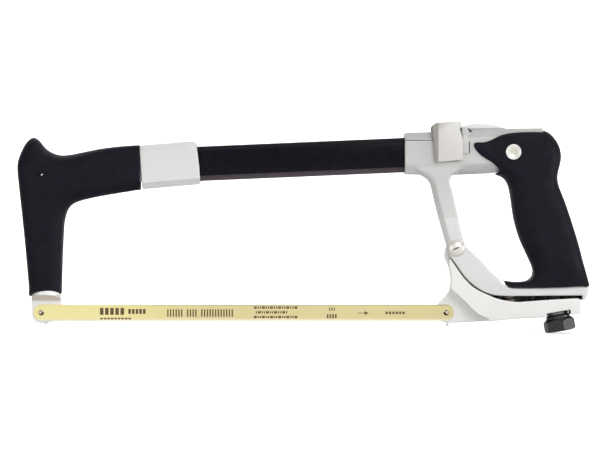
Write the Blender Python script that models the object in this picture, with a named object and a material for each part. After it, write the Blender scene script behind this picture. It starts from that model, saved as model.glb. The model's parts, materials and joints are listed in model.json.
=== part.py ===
"""Hacksaw with a rigid tube frame, a cam clamp for the frame's length and a screw-driven tension lever.

Sizes are millimetres, turned into Blender's metres where a mesh or a place is made. The saw's own
frame has X along the blade towards the handle, Z up and Y across, with the blade's front hole at
zero. The empty SAW moves all of it so that the world origin is the centre of the whole saw.
"""

import math

import bmesh
import bpy
from mathutils import Matrix, Vector

MM = 0.001
CENTRE = (193.8, 0.0, 63.2)      # centre of the whole saw in the saw's own frame
GAP = 0.3                        # play left between touching pieces

# Blade: a standard 300 mm hacksaw blade
BLADE_LENGTH = 300.0             # between hole centres
BLADE_THICKNESS = 0.65
TOOTH_TIP_Z = -6.6
TEETH_PER_INCH = 24
TOOTH_DEPTH = 0.62
HOLE_R = 2.1

# Pins that hold the blade, each hard against the outer side of its hole
PIN_R = 1.2
PIN_OFFSET_X = 0.65
PIN_Z = 0.2
PIN_OUT = 1.7                    # how far a pin stands out of its seat
PIN_DEEP = 4.0
SIDE_PIN_R = 1.5

# Frame tube
TUBE_START = (117.0, 110.2)      # a point on the tube's axis, X and Z
TUBE_SLOPE = math.radians(2.43)
TUBE_HEIGHT = 25.6
TUBE_WIDTH = 14.0
TUBE_CHAMFER = 4.0
TUBE_WALL = 1.3
TUBE_FRONT_X = 79.0
TUBE_REAR_X = 316.0
BORE_PLAY = 0.35

# Front casting
COLLAR_HALF = 11.0
COLLAR_OUTLINE = [(73.0, 123.7), (111.6, 127.0), (115.0, 125.8), (116.4, 116.4), (117.5, 107.0),
                  (117.9, 99.5), (117.7, 95.1), (75.4, 91.4)]
COLLAR_CHAMFER = 4.4
ARM_HALF = 6.5
SHOULDER_HALF_X = 10.9
SHOULDER_HALF_Y = 12.2
FOOT_SLOPE = 0.32                # rise of the rubber's lower edge away from the middle plane
TONGUE_THICKNESS = 5.0
TUBE_PIN_R = 2.0
TUBE_PIN_X = 96.0
DRAIN_HOLE = (0.7, 102.2)        # small hole right through the front grip
DRAIN_HOLE_R = 1.5

# Rear casting
SLEEVE_HALF = 11.5
SLEEVE_SIDE_CHAMFER = 4.0
ARM_WIDTH_HALF = 10.5
BASE_HALF = 11.0
SPINE_HALF = 6.0
BORE_END_X = 368.0
SLEEVE_END_X = 371.0

# Tension lever
PIVOT = (307.1, 47.8)
LEVER_HALF = 9.5
EYE_HALF = 3.0
EYE_R = 6.9
FORK_SLOT_HALF = 4.2
PIVOT_R = 3.0
BUSH_R = 4.5
FLANGE_THICKNESS = 6.0
CREASE_SLOPE = 1.8               # slope where the thick arm drops to the blade flange
CHANNEL_HALF = 7.2
RIB_NEAR = 5.3                   # guide rib between these distances from the middle plane
RIB_FAR = 6.7
SPRING_X = 347.0

# Tension screw, tilted so that its knob leans back
SCREW_TOP = (382.85, -3.3)       # where the axis meets the knob's upper face, X and Z
SCREW_TILT = math.radians(10.0)
SCREW_R = 4.0
KNOB_CORNER_R = 12.0
KNOB_HEIGHT = 10.2
SEAT_T = 4.2                     # lever's seat above the knob's upper face
WASHER_R = 8.0
RECESS_R = 12.9                  # of the round recess over the knob
NUT_R = 7.4
NUT_LOW = 17.9                   # the nut in the base, as distances up the screw's axis
NUT_HIGH = 22.3

# Cam clamp
CAM_AXIS = (301.0, 137.0)
CAM_PIN_R = 1.5
CAM_CLOSED_R = 3.7
CAM_OPEN_R = 2.8
CAM_HALF = 5.3
CLAMP_LEVER_HALF = 6.4
LEVER_SINK = 0.5                 # how far the lever lies below the lips of its pocket
STRAP_LEAN = math.radians(4.5)
STRAP_IN = 11.9
STRAP_OUT = 15.2
JAW_HALF_LENGTH = 7.2
JAW_HALF_WIDTH = 5.6
JAW_THICKNESS = 1.75

# Grips
FRONT_GRIP_HALF = 13.5
REAR_GRIP_HALF = 15.0
GRIP_SCREW = (348.7, 118.6)
GRIP_SCREW_R = 5.7
GRIP_SCREW_SHANK_R = 2.5

ROUND_STEPS = 28


# ---------------------------------------------------------------- outlines

def smooth(points, steps=3):
    """Points on a smooth curve through the given points (Catmull-Rom), both ends included."""
    padded = [points[0]] + list(points) + [points[-1]]
    curve = []
    for i in range(len(points) - 1):
        a, b, c, d = (Vector(p) for p in padded[i:i + 4])
        for step in range(steps):
            t = step / steps
            p = b * 2 + (c - a) * t + (a * 2 - b * 5 + c * 4 - d) * t ** 2
            p = p + (b * 3 - a - c * 3 + d) * t ** 3
            curve.append(tuple(p / 2))
    curve.append(tuple(points[-1]))
    return curve


def arc(centre, radius, start, end, steps=8):
    """Points on an arc in X and Z, angles in degrees from +X towards +Z."""
    points = []
    for step in range(steps + 1):
        angle = math.radians(start + (end - start) * step / steps)
        points.append((centre[0] + radius * math.cos(angle), centre[1] + radius * math.sin(angle)))
    return points


def grown(outline, distance):
    """The outline with every side moved out by a distance (corners mitred), for clearance."""
    count = len(outline)
    points = [Vector(p) for p in outline]
    area = sum(points[i].cross(points[(i + 1) % count]) for i in range(count))
    turn = 1.0 if area > 0 else -1.0
    result = []
    for i in range(count):
        before = (points[i] - points[i - 1]).normalized()
        after = (points[(i + 1) % count] - points[i]).normalized()
        out_before = Vector((before.y, -before.x)) * turn
        out_after = Vector((after.y, -after.x)) * turn
        middle = out_before + out_after
        result.append(tuple(points[i] + middle * (distance / (1.0 + out_before.dot(out_after)))))
    return result


def box_outline(x_low, x_high, z_low, z_high):
    return [(x_low, z_low), (x_high, z_low), (x_high, z_high), (x_low, z_high)]


def tube_section(grow=0.0, wall=0.0):
    """Half the corners of the tube's cross-section mirrored round: Y and Z of an octagon."""
    half_y = TUBE_WIDTH / 2 + grow - wall
    half_z = TUBE_HEIGHT / 2 + grow - wall
    cut = TUBE_CHAMFER - wall * 0.6 + grow * 0.4
    corner = [(half_y, -half_z + cut), (half_y, half_z - cut), (half_y - cut, half_z)]
    top_left = [(-half_y + cut, half_z), (-half_y, half_z - cut)]
    bottom = [(-half_y, -half_z + cut), (-half_y + cut, -half_z), (half_y - cut, -half_z)]
    return corner + top_left + bottom


# ---------------------------------------------------------------- solids

def closed_mesh(rings, cap_start, cap_end):
    """A bmesh skinned over rings of points (metres); each ring joins the next."""
    bm = bmesh.new()
    made = [[bm.verts.new(p) for p in ring] for ring in rings]
    for ring, after in zip(made, made[1:]):
        count = len(ring)
        for i in range(count):
            j = (i + 1) % count
            bm.faces.new((ring[i], ring[j], after[j], after[i]))
    if cap_start:
        bm.faces.new(list(reversed(made[0])))
    if cap_end:
        bm.faces.new(made[-1])
    bmesh.ops.recalc_face_normals(bm, faces=bm.faces)
    return bm


def prism(outline, y_low, y_high):
    """An X-Z outline extruded across the saw."""
    rings = []
    for y in (y_low, y_high):
        rings.append([Vector((x, y, z)) * MM for x, z in outline])
    return closed_mesh(rings, True, True)


def loft(sections):
    """A solid skinned over Y-Z sections, each given with its X."""
    rings = [[Vector((x, y, z)) * MM for y, z in section] for x, section in sections]
    return closed_mesh(rings, True, True)


def turned(profile, steps=ROUND_STEPS, turn=0.0):
    """A solid of revolution round Z from (radius, z) points, bottom to top, solid on the axis."""
    bm = bmesh.new()
    rings = []
    for radius, z in profile:
        ring = []
        for step in range(steps):
            angle = 2 * math.pi * step / steps + turn
            place = Vector((radius * math.cos(angle), radius * math.sin(angle), z))
            ring.append(bm.verts.new(place * MM))
        rings.append(ring)
    for ring, after in zip(rings, rings[1:]):
        for i in range(steps):
            j = (i + 1) % steps
            bm.faces.new((ring[i], ring[j], after[j], after[i]))
    bm.faces.new(list(reversed(rings[0])))
    bm.faces.new(rings[-1])
    bmesh.ops.recalc_face_normals(bm, faces=bm.faces)
    return bm


def ring_solid(outer, inner, z_low, z_high, steps=ROUND_STEPS):
    """A washer or tube round Z."""
    bm = bmesh.new()
    corners = [(outer, z_low), (outer, z_high), (inner, z_high), (inner, z_low)]
    rings = []
    for radius, z in corners:
        ring = []
        for step in range(steps):
            angle = 2 * math.pi * step / steps
            place = Vector((radius * math.cos(angle), radius * math.sin(angle), z))
            ring.append(bm.verts.new(place * MM))
        rings.append(ring)
    for k in range(4):
        ring, after = rings[k], rings[(k + 1) % 4]
        for i in range(steps):
            j = (i + 1) % steps
            bm.faces.new((ring[i], ring[j], after[j], after[i]))
    bmesh.ops.recalc_face_normals(bm, faces=bm.faces)
    return bm


def rod(radius, low, high, steps=ROUND_STEPS):
    return turned([(radius, low), (radius, high)], steps)


def moved(bm, matrix):
    bm.transform(matrix)
    return bm


def along_y(bm, x, z):
    """Turns a solid made round Z so that its axis runs along Y through (x, z)."""
    turn = Matrix.Rotation(math.radians(-90), 4, "X")
    return moved(bm, Matrix.Translation(Vector((x, 0, z)) * MM) @ turn)


def towards_front(bm, x, z):
    """Turns a solid made round Z so that its top points to -Y, with its axis through (x, z)."""
    turn = Matrix.Rotation(math.radians(90), 4, "X")
    return moved(bm, Matrix.Translation(Vector((x, 0, z)) * MM) @ turn)


def along_tube(bm):
    """From the tube's own frame (X along the axis) to the saw's frame."""
    start = Vector((TUBE_START[0], 0, TUBE_START[1])) * MM
    return moved(bm, Matrix.Translation(start) @ Matrix.Rotation(-TUBE_SLOPE, 4, "Y"))


def along_screw_matrix():
    top = Vector((SCREW_TOP[0], 0, SCREW_TOP[1])) * MM
    return Matrix.Translation(top) @ Matrix.Rotation(-SCREW_TILT, 4, "Y")


def along_screw(bm):
    """From the tension screw's own frame (Z up its axis) to the saw's frame."""
    return moved(bm, along_screw_matrix())


def chamfer_rims(bm, width, keep=None, segments=1):
    """Bevels the edges that run round a prism's two sides; keep(x, z, y) picks among them."""
    chosen = []
    for edge in bm.edges:
        a, b = (v.co / MM for v in edge.verts)
        middle = (a + b) / 2
        if abs(a.y - b.y) > 1e-4:
            continue
        if keep is None or keep(middle.x, middle.z, middle.y):
            chosen.append(edge)
    bmesh.ops.bevel(bm, geom=chosen, offset=width * MM, segments=segments, profile=0.5,
                    affect="EDGES", clamp_overlap=True)
    return bm


def as_object(bm, name="solid"):
    mesh = bpy.data.meshes.new(name)
    bm.to_mesh(mesh)
    bm.free()
    obj = bpy.data.objects.new(name, mesh)
    bpy.context.scene.collection.objects.link(obj)
    return obj


def combine(target, bm, operation):
    """An exact Boolean, applied at once; the second solid is used up."""
    return combine_objects(target, as_object(bm, "tool"), operation)


def combine_objects(target, tool, operation):
    modifier = target.modifiers.new("combine", "BOOLEAN")
    modifier.operation = operation
    modifier.solver = "EXACT"
    modifier.object = tool
    graph = bpy.context.evaluated_depsgraph_get()
    mesh = bpy.data.meshes.new_from_object(target.evaluated_get(graph))
    target.modifiers.clear()
    target.data = mesh
    bpy.data.objects.remove(tool)
    return target


def join(target, bm):
    return combine(target, bm, "UNION")


def join_object(target, other):
    return combine_objects(target, other, "UNION")


def cut(target, bm):
    return combine(target, bm, "DIFFERENCE")


# ---------------------------------------------------------------- scene

BODY_PIVOTS = {
    "saw_root": (0.0, 0.0, 0.0),
    "front_frame": (TUBE_START[0], 0.0, TUBE_START[1]),
    "blade_body": (0.0, 0.0, 0.0),
    "clamp_lever_body": (CAM_AXIS[0], 0.0, CAM_AXIS[1]),
    "clamp_jaw_body": (CAM_AXIS[0], 0.0, CAM_AXIS[1]),
    "lever_body": (PIVOT[0], 0.0, PIVOT[1]),
    "screw_carrier": (SCREW_TOP[0], 0.0, SCREW_TOP[1]),
    "knob_body": (SCREW_TOP[0], 0.0, SCREW_TOP[1]),
}
BODY_PARENTS = {
    "front_frame": "saw_root", "blade_body": "front_frame", "clamp_lever_body": "saw_root",
    "clamp_jaw_body": "saw_root", "lever_body": "saw_root", "screw_carrier": "saw_root",
    "knob_body": "screw_carrier",
}
FINISHES = {
    "cast_aluminium": ((0.66, 0.67, 0.68), 0.42, 0.85),
    "tube_paint": ((0.012, 0.012, 0.014), 0.32, 0.0),
    "rubber": ((0.018, 0.014, 0.02), 0.75, 0.0),
    "strap_steel": ((0.64, 0.63, 0.59), 0.38, 1.0),
    "bright_steel": ((0.72, 0.71, 0.68), 0.25, 1.0),
    "blade_gold": ((0.84, 0.68, 0.25), 0.35, 0.6),
    "black_plastic": ((0.015, 0.014, 0.016), 0.45, 0.0),
    "bronze": ((0.55, 0.36, 0.16), 0.4, 1.0),
    "spring_steel": ((0.35, 0.35, 0.36), 0.35, 1.0),
}


def make_finishes():
    for name, (colour, roughness, metallic) in FINISHES.items():
        material = bpy.data.materials.new(name)
        material.use_nodes = True
        shader = material.node_tree.nodes["Principled BSDF"]
        shader.inputs["Base Color"].default_value = (*colour, 1.0)
        shader.inputs["Roughness"].default_value = roughness
        shader.inputs["Metallic"].default_value = metallic


def make_bodies():
    """One empty for each moving body, on its joint's axis, under the empty that centres the saw."""
    saw = bpy.data.objects.new("SAW", None)
    saw.location = -Vector(CENTRE) * MM
    bpy.context.scene.collection.objects.link(saw)
    for body, pivot in BODY_PIVOTS.items():
        empty = bpy.data.objects.new(body, None)
        parent = BODY_PARENTS.get(body)
        base = Vector(BODY_PIVOTS[parent]) if parent else Vector()
        empty.parent = bpy.data.objects[parent] if parent else saw
        empty.location = (Vector(pivot) - base) * MM
        bpy.context.scene.collection.objects.link(empty)


def add_node(name, obj, body, finish, origin=None):
    """Names a finished solid and hangs it on its body with its origin at the given place."""
    pivot = Vector(BODY_PIVOTS[body])
    origin = pivot if origin is None else Vector(origin)
    obj.name = name
    obj.data.name = name
    obj.data.transform(Matrix.Translation(-origin * MM))
    obj.parent = bpy.data.objects[body]
    obj.location = (origin - pivot) * MM
    material = bpy.data.materials[finish].copy()
    material.name = name + "_finish"
    obj.data.materials.clear()
    obj.data.materials.append(material)
    obj.data.shade_smooth()
    obj.data.set_sharp_from_angle(angle=math.radians(35))
    return obj


# ---------------------------------------------------------------- front half

def blade():
    """Flat blade with rounded ends, a hole near each end and fine teeth pointing away from the handle."""
    pitch = 25.4 / TEETH_PER_INCH
    root_z = TOOTH_TIP_Z + TOOTH_DEPTH
    first, last = 9.0, BLADE_LENGTH - 9.0
    outline = arc((0.4, 0.0), 6.0, 90, 262, 12)
    outline.append((first, root_z))
    for i in range(int((last - first) / pitch)):
        x = first + i * pitch
        outline.append((x + 0.12 * pitch, TOOTH_TIP_Z))
        outline.append((x + pitch, root_z))
    outline += arc((BLADE_LENGTH - 0.4, 0.0), 6.0, -82, 90, 12)
    y_far = -GAP
    obj = as_object(prism(outline, y_far - BLADE_THICKNESS, y_far))
    for x in (0.0, BLADE_LENGTH):
        cut(obj, along_y(rod(HOLE_R, -3, 3, 24), x, 0.0))
    add_node("blade", obj, "blade_body", "blade_gold")


def blade_pin(name, x, body):
    """Short pin, pressed into the casting, whose end stands out of the seat and holds the blade."""
    profile = [(PIN_R, -PIN_DEEP), (PIN_R, PIN_OUT - 0.3), (PIN_R - 0.3, PIN_OUT)]
    obj = as_object(towards_front(turned(profile, 20), x, PIN_Z))
    add_node(name, obj, body, "bright_steel", (x, 0, PIN_Z))


def side_pin(name, x, y, z_tip, z_top, body):
    """Peg that points down, for the blade's other position."""
    profile = [(SIDE_PIN_R - 0.4, z_tip), (SIDE_PIN_R, z_tip + 0.5), (SIDE_PIN_R, z_top)]
    obj = as_object(moved(turned(profile, 16), Matrix.Translation(Vector((x, y, 0)) * MM)))
    add_node(name, obj, body, "bright_steel", (x, y, z_tip))


def frame_tube():
    """Hollow tube with chamfered corners, open at both ends."""
    start = TUBE_FRONT_X - TUBE_START[0]
    end = TUBE_REAR_X - TUBE_START[0]
    obj = as_object(along_tube(loft([(start, tube_section()), (end, tube_section())])))
    hollow = tube_section(wall=TUBE_WALL)
    cut(obj, along_tube(loft([(start - 5, hollow), (end + 5, hollow)])))
    cut(obj, tube_pin_hole())
    add_node("frame_tube", obj, "front_frame", "tube_paint")


def tube_pin_height():
    return TUBE_START[1] + (TUBE_PIN_X - TUBE_START[0]) * math.tan(TUBE_SLOPE)


def tube_pin_hole():
    return along_y(rod(TUBE_PIN_R + GAP, 4.0, 14.0, 20), TUBE_PIN_X, tube_pin_height())


def tube_pin():
    """Spring pin through the collar's far wall and the tube's wall."""
    profile = [(TUBE_PIN_R - 0.3, 4.4), (TUBE_PIN_R, 4.8), (TUBE_PIN_R, 10.7)]
    obj = as_object(along_y(turned(profile, 20), TUBE_PIN_X, tube_pin_height()))
    add_node("tube_pin", obj, "front_frame", "spring_steel")


def tube_end_plug():
    """Plastic plug in the tube's rear end."""
    end = TUBE_REAR_X - TUBE_START[0]
    inside = tube_section(wall=TUBE_WALL + GAP)
    obj = as_object(along_tube(loft([(end - 14, inside), (end - 0.5, inside)])))
    add_node("tube_end_plug", obj, "front_frame", "black_plastic")


FRONT_ARM_OUTER = smooth([(77.0, 118.3), (40.0, 114.5), (14.0, 109.5), (4.0, 112.0), (-4.5, 117.0)])
FRONT_ARM_INNER = smooth([(9.5, 12.5), (10.5, 45.0), (12.0, 72.0), (17.0, 83.0), (30.0, 89.5), (77.0, 98.0)])


# The front casting's arm inside the grip, from the collar round the bend and down
FRONT_ARM_OUTLINE = (
    FRONT_ARM_OUTER + [(-9.5, 112.0), (-9.2, 84.0), (-6.0, 49.0), (-3.0, 12.5)] + FRONT_ARM_INNER
)


def front_casting():
    """Collar, arm, shoulder and tongue in one casting."""
    collar = prism(COLLAR_OUTLINE, -COLLAR_HALF, COLLAR_HALF)
    chamfer_rims(collar, COLLAR_CHAMFER, lambda x, z, y: z > 122 or z < 97)
    obj = as_object(collar)
    join(obj, prism(FRONT_ARM_OUTLINE, -ARM_HALF, ARM_HALF))
    shoulder = as_object(rod(1.0, 8.0, 20.0, 32))
    shoulder.data.transform(Matrix.Translation(Vector((3.7, 0, 0)) * MM)
                            @ Matrix.Diagonal((SHOULDER_HALF_X, SHOULDER_HALF_Y, 1.0, 1.0)))
    under = [(16.0, 14.6), (TONGUE_THICKNESS + 0.6, 9.3), (-0.6, 9.3), (-16.0, 14.6)]
    combine(shoulder, loft([(x, foot_edge(x, -0.35) + under) for x in FOOT_ENDS]), "INTERSECT")
    join_object(obj, shoulder)
    # tongue behind the blade
    tongue = smooth([(-7.0, 11.0), (-6.9, 2.0), (-6.2, -4.4), (-2.0, -7.3), (3.0, -7.6), (9.0, -6.3)])
    tongue += smooth([(14.0, -0.5), (15.0, 4.0), (15.2, 8.0), (15.0, 11.0)], 2)
    join(obj, prism(tongue, 0.0, TONGUE_THICKNESS))
    start = TUBE_FRONT_X - TUBE_START[0] - 2
    bore = tube_section(grow=BORE_PLAY)
    cut(obj, along_tube(loft([(start, bore), (20.0, bore)])))
    cut(obj, tube_pin_hole())
    cut(obj, along_y(rod(PIN_R + GAP, -2, PIN_DEEP + 0.5, 20), -PIN_OFFSET_X, PIN_Z))
    peg = rod(SIDE_PIN_R + GAP, -20, -3.0, 16)
    cut(obj, moved(peg, Matrix.Translation(Vector((3.4, TONGUE_THICKNESS / 2, 0)) * MM)))
    cut(obj, along_y(rod(DRAIN_HOLE_R, -20, 20, 16), *DRAIN_HOLE))
    add_node("front_casting", obj, "front_frame", "cast_aluminium")


FOOT_ENDS = (-30.0, 40.0)


def foot_edge(x, lift=0.0):
    """Lower edge of the front rubber across the saw at x: lowest in the middle plane."""
    middle = 13.1 + (x - 3.6) * 0.07 + lift
    return [(-16.0, middle + 16.0 * FOOT_SLOPE), (0.0, middle), (16.0, middle + 16.0 * FOOT_SLOPE)]


FRONT_GRIP_OUTLINE = (
    smooth([(72.6, 123.6), (58.9, 122.7), (42.3, 120.6), (27.8, 117.6), (16.3, 115.9), (8.5, 117.8),
            (2.5, 121.8), (-1.3, 127.1), (-5.5, 129.6), (-10.0, 126.5), (-13.3, 120.8), (-16.9, 111.4),
            (-16.8, 102.0), (-14.9, 84.4), (-11.2, 49.1), (-7.8, 11.0)], 2)
    + smooth([(14.8, 11.0), (15.3, 33.5), (16.2, 54.3), (17.0, 67.5), (20.7, 78.8), (29.7, 83.4),
              (48.5, 87.4), (75.1, 91.7)], 2)
)


def front_grip():
    """Rubber grip moulded over the front casting's arm."""
    body = prism(FRONT_GRIP_OUTLINE, -FRONT_GRIP_HALF, FRONT_GRIP_HALF)
    chamfer_rims(body, 2.0, segments=2)
    obj = as_object(body)
    room = [(x + (4.0 if x > 70 else 0.0), z) for x, z in grown(FRONT_ARM_OUTLINE, GAP)]
    cut(obj, prism(room, -ARM_HALF - GAP, ARM_HALF + GAP))
    below = [(16.0, 0.0), (-16.0, 0.0)]
    cut(obj, loft([(x, foot_edge(x) + below) for x in FOOT_ENDS]))
    cut(obj, along_y(rod(DRAIN_HOLE_R, -20, 20, 16), *DRAIN_HOLE))
    add_node("front_grip", obj, "front_frame", "rubber")


# ---------------------------------------------------------------- rear casting

def sleeve_top(x):
    """Height of the sleeve's flat top at x."""
    if x < 303.0:
        return 133.0 + (x - 269.0) * 0.038
    if x < 332.0:
        return 134.3 + (x - 303.0) * 0.06
    return 136.04 + (x - 332.0) * 0.012


def sleeve_section(x):
    """Cross-section of the sleeve at x: flat top and bottom, chamfered sides."""
    top = sleeve_top(x)
    if x < 303.0:
        bottom = 102.3 - (x - 269.0) * 0.015
    elif x < 332.0:
        bottom = 101.8 + (x - 303.0) * 0.045
    else:
        bottom = 103.1 + (x - 332.0) * 0.12
    inner = SLEEVE_HALF - SLEEVE_SIDE_CHAMFER
    right = [(inner, bottom), (SLEEVE_HALF, bottom + 7.3), (SLEEVE_HALF, top - 6.7), (inner, top)]
    left = [(-y, z) for y, z in reversed(right)]
    return right + left


# Strut from the sleeve to the fork: height, left edge, right edge, half width
STRUT_LEVELS = [
    (107.0, 273.2, 313.0, 11.0), (103.6, 278.7, 306.5, 11.0), (101.2, 282.4, 303.4, 10.9),
    (98.6, 285.8, 302.4, 10.7), (95.5, 288.0, 302.5, 10.5), (91.1, 289.2, 303.8, 10.2),
    (83.4, 290.9, 305.6, 10.0), (68.0, 294.9, 309.1, 9.9), (52.0, 299.4, 312.9, 9.9),
    (46.0, 301.4, 312.9, 9.9),
]
STRUT_BEVEL_X = 3.6
STRUT_BEVEL_Y = 3.2
STRUT_EDGE = 0.8


def strut():
    """Tapering strut with a broad bevel down its front edges, flared into the sleeve."""
    rings = []
    for z, left, right, half in STRUT_LEVELS:
        corner = [(left, half - STRUT_BEVEL_Y), (left + STRUT_BEVEL_X, half),
                  (right - STRUT_EDGE, half), (right, half - STRUT_EDGE)]
        section = corner + [(x, -y) for x, y in reversed(corner)]
        rings.append([Vector((x, y, z)) * MM for x, y in section])
    return closed_mesh(rings, True, True)


ARM_UNDERSIDE = smooth([(303.1, 40.9), (306.9, 35.6), (312.8, 27.4), (318.8, 21.3), (324.7, 17.1),
                        (331.5, 14.1), (338.0, 12.8), (346.0, 12.5)], 3)

ARM_OUTLINE = (
    [(301.0, 52.0)] + arc(PIVOT, 6.4, 165, 225, 5) + ARM_UNDERSIDE
    + [(346.0, 18.4), (341.0, 21.6)]
    + [(338.4, 24.9), (331.5, 31.6), (323.2, 40.9), (313.6, 49.6), (312.2, 55.0)]
)

BASE_OUTLINE = [(336.0, 13.0), (346.0, 12.5), (399.9, 13.0), (399.9, 9.6), (402.0, 9.6), (404.2, 14.1),
                (405.0, 19.0), (400.0, 20.3), (382.6, 19.4), (357.0, 18.9), (346.5, 19.1), (341.0, 21.2)]

SPINE_OUTLINE = [(353.0, 112.0), (373.0, 112.0), (372.0, 101.0), (377.0, 80.0), (386.0, 52.0),
                 (393.0, 16.0), (369.0, 16.0), (369.5, 34.0), (363.0, 50.0), (358.0, 68.0),
                 (356.5, 88.0)]


# Rib under the arm and base that runs in the lever's channel
GUIDE_RIB_OUTLINE = (
    [(317.0, 24.6), (324.0, 18.8), (331.5, 15.6), (346.0, 13.3), (400.4, 13.3), (400.4, 8.9),
     (391.0, 7.4), (372.0, 7.0), (366.0, 5.5), (346.8, 5.1), (335.2, 7.6)]
    + [(329.8, 9.9), (322.8, 13.6), (316.4, 18.0)]
)


def fork_slot():
    """Room for the lever's eye and its tongue between the cheeks of the fork."""
    eye = arc(PIVOT, EYE_R + 0.9, 0, 190, 12)
    return prism(eye + [(296.0, 30.0), (300.0, 8.0), (328.0, 8.0), (323.5, 20.0), (318.5, 36.0)],
                 -FORK_SLOT_HALF, FORK_SLOT_HALF)


def rear_frame():
    """Sleeve, strut, fork, lower arm, base and grip spine in one casting."""
    stations = [269.0, 303.0, 332.0, SLEEVE_END_X]
    obj = as_object(loft([(x, sleeve_section(x)) for x in stations]))
    join(obj, strut())
    join(obj, prism(ARM_OUTLINE, -ARM_WIDTH_HALF, ARM_WIDTH_HALF))
    base = prism(BASE_OUTLINE, -BASE_HALF, BASE_HALF)
    chamfer_rims(base, 0.8, lambda x, z, y: z > 17.0 or x > 400)
    join(obj, base)
    join(obj, prism(SPINE_OUTLINE, -SPINE_HALF, SPINE_HALF))
    bore = tube_section(grow=BORE_PLAY)
    start = TUBE_START[0]
    cut(obj, along_tube(loft([(260 - start, bore), (BORE_END_X - start, bore)])))
    cut(obj, fork_slot())
    cut(obj, along_y(rod(PIVOT_R + GAP, -20, 20, 24), *PIVOT))
    # window for the clamp's jaw, notches for the strap's hooks
    jaw_x = CAM_AXIS[0] - TUBE_START[0]
    window = box_outline(jaw_x - JAW_HALF_LENGTH - 0.4, jaw_x + JAW_HALF_LENGTH + 0.4, 10.0, 25.0)
    cut(obj, along_tube(prism(window, -JAW_HALF_WIDTH - 0.4, JAW_HALF_WIDTH + 0.4)))
    for side in (-1, 1):
        low, high = sorted((side * 9.2, side * 14.0))
        cut(obj, prism(box_outline(293.6, 308.4, 112.6, 116.6), low, high))
        low, high = sorted((side * 6.5, side * 14.0))
        cut(obj, along_y(rod(GRIP_SCREW_SHANK_R + GAP, low, high, 20), *GRIP_SCREW))
    # shallow pocket in the sleeve's top for the clamp lever
    floor = [(x, sleeve_top(x) - LEVER_SINK - GAP) for x in (303.0, 332.0, 345.0)]
    pocket = floor + [(345.0, 145.0), (303.0, 145.0)]
    cut(obj, prism(pocket, -CLAMP_LEVER_HALF - 0.4, CLAMP_LEVER_HALF + 0.4))
    # screw hole, nut pocket and spring pocket
    cut(obj, along_screw(rod(SCREW_R + 0.6, 10.0, 46.0, 24)))
    cut(obj, along_screw(turned([(NUT_R + 0.4, 10.0), (NUT_R + 0.4, NUT_HIGH + GAP)], 6, math.radians(30))))
    cut(obj, moved(rod(5.1, 8.0, 16.9, 24), Matrix.Translation(Vector((SPRING_X, 0, 0)) * MM)))
    join(obj, prism(GUIDE_RIB_OUTLINE, RIB_NEAR, RIB_FAR))
    add_node("rear_frame", obj, "saw_root", "cast_aluminium")


REAR_GRIP_OUTLINE = (
    smooth([(319.6, 124.0), (321.0, 125.5), (324.5, 125.4), (328.8, 125.7), (333.1, 127.3),
            (337.6, 130.0), (342.0, 131.9), (346.4, 133.2), (353.0, 134.2), (361.0, 134.8),
            (371.5, 134.4), (377.0, 131.6), (381.8, 126.0), (384.6, 118.0), (384.0, 110.5),
            (381.8, 102.0), (382.6, 94.0), (387.5, 81.9), (396.6, 53.8), (400.6, 38.4),
            (405.1, 19.8)], 2)
    + [(399.5, 20.7), (382.6, 19.7), (357.0, 19.2), (346.5, 19.4), (341.2, 24.0)]
    + smooth([(348.0, 22.4), (357.0, 22.5), (362.5, 24.4), (364.8, 28.6), (364.2, 33.2), (360.0, 42.6),
              (354.5, 54.5), (350.4, 68.0), (348.9, 77.2), (347.2, 89.4), (345.2, 96.4),
              (341.4, 101.2), (336.2, 102.3)], 2)
    + smooth([(338.6, 105.8), (337.0, 108.0), (333.1, 111.5), (328.7, 113.9), (324.3, 117.0),
              (321.4, 120.3)])
)


def rear_grip():
    """Rubber pistol grip moulded round the spine and over the sleeve's end, with a beak each side."""
    body = prism(REAR_GRIP_OUTLINE, -REAR_GRIP_HALF, REAR_GRIP_HALF)
    chamfer_rims(body, 1.5, segments=2)
    obj = as_object(body)
    room = [(310.0, 140.0), (SLEEVE_END_X + GAP, 140.0), (SLEEVE_END_X + GAP, 107.4),
            (332.0, 102.7), (310.0, 101.6)]
    cut(obj, prism(room, -SLEEVE_HALF - GAP, SLEEVE_HALF + GAP))
    cut(obj, prism(grown(SPINE_OUTLINE, GAP), -SPINE_HALF - GAP, SPINE_HALF + GAP))
    below_base = [(410.0, 19.6), (400.0, 20.6), (382.6, 19.7), (357.0, 19.2), (346.5, 19.4),
                  (335.0, 25.8), (330.0, 5.0), (410.0, 5.0)]
    cut(obj, prism(below_base, -20, 20))
    cut(obj, along_y(rod(GRIP_SCREW_SHANK_R + GAP, -20, 20, 20), *GRIP_SCREW))
    add_node("rear_grip", obj, "saw_root", "rubber")


def grip_screw(name, side):
    """Short screw with a round dished head."""
    face = REAR_GRIP_HALF + GAP
    shank = [(GRIP_SCREW_SHANK_R, 8.0), (GRIP_SCREW_SHANK_R, face)]
    head = [(GRIP_SCREW_R, face), (GRIP_SCREW_R, face + 0.8), (GRIP_SCREW_R - 0.6, face + 1.3),
            (GRIP_SCREW_R - 1.3, face + 1.3), (2.0, face + 0.6)]
    place = towards_front if side < 0 else along_y
    bm = place(turned(shank + head, 32), *GRIP_SCREW)
    add_node(name, as_object(bm), "saw_root", "bright_steel", (GRIP_SCREW[0], 0, GRIP_SCREW[1]))


# ---------------------------------------------------------------- pivot

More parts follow.
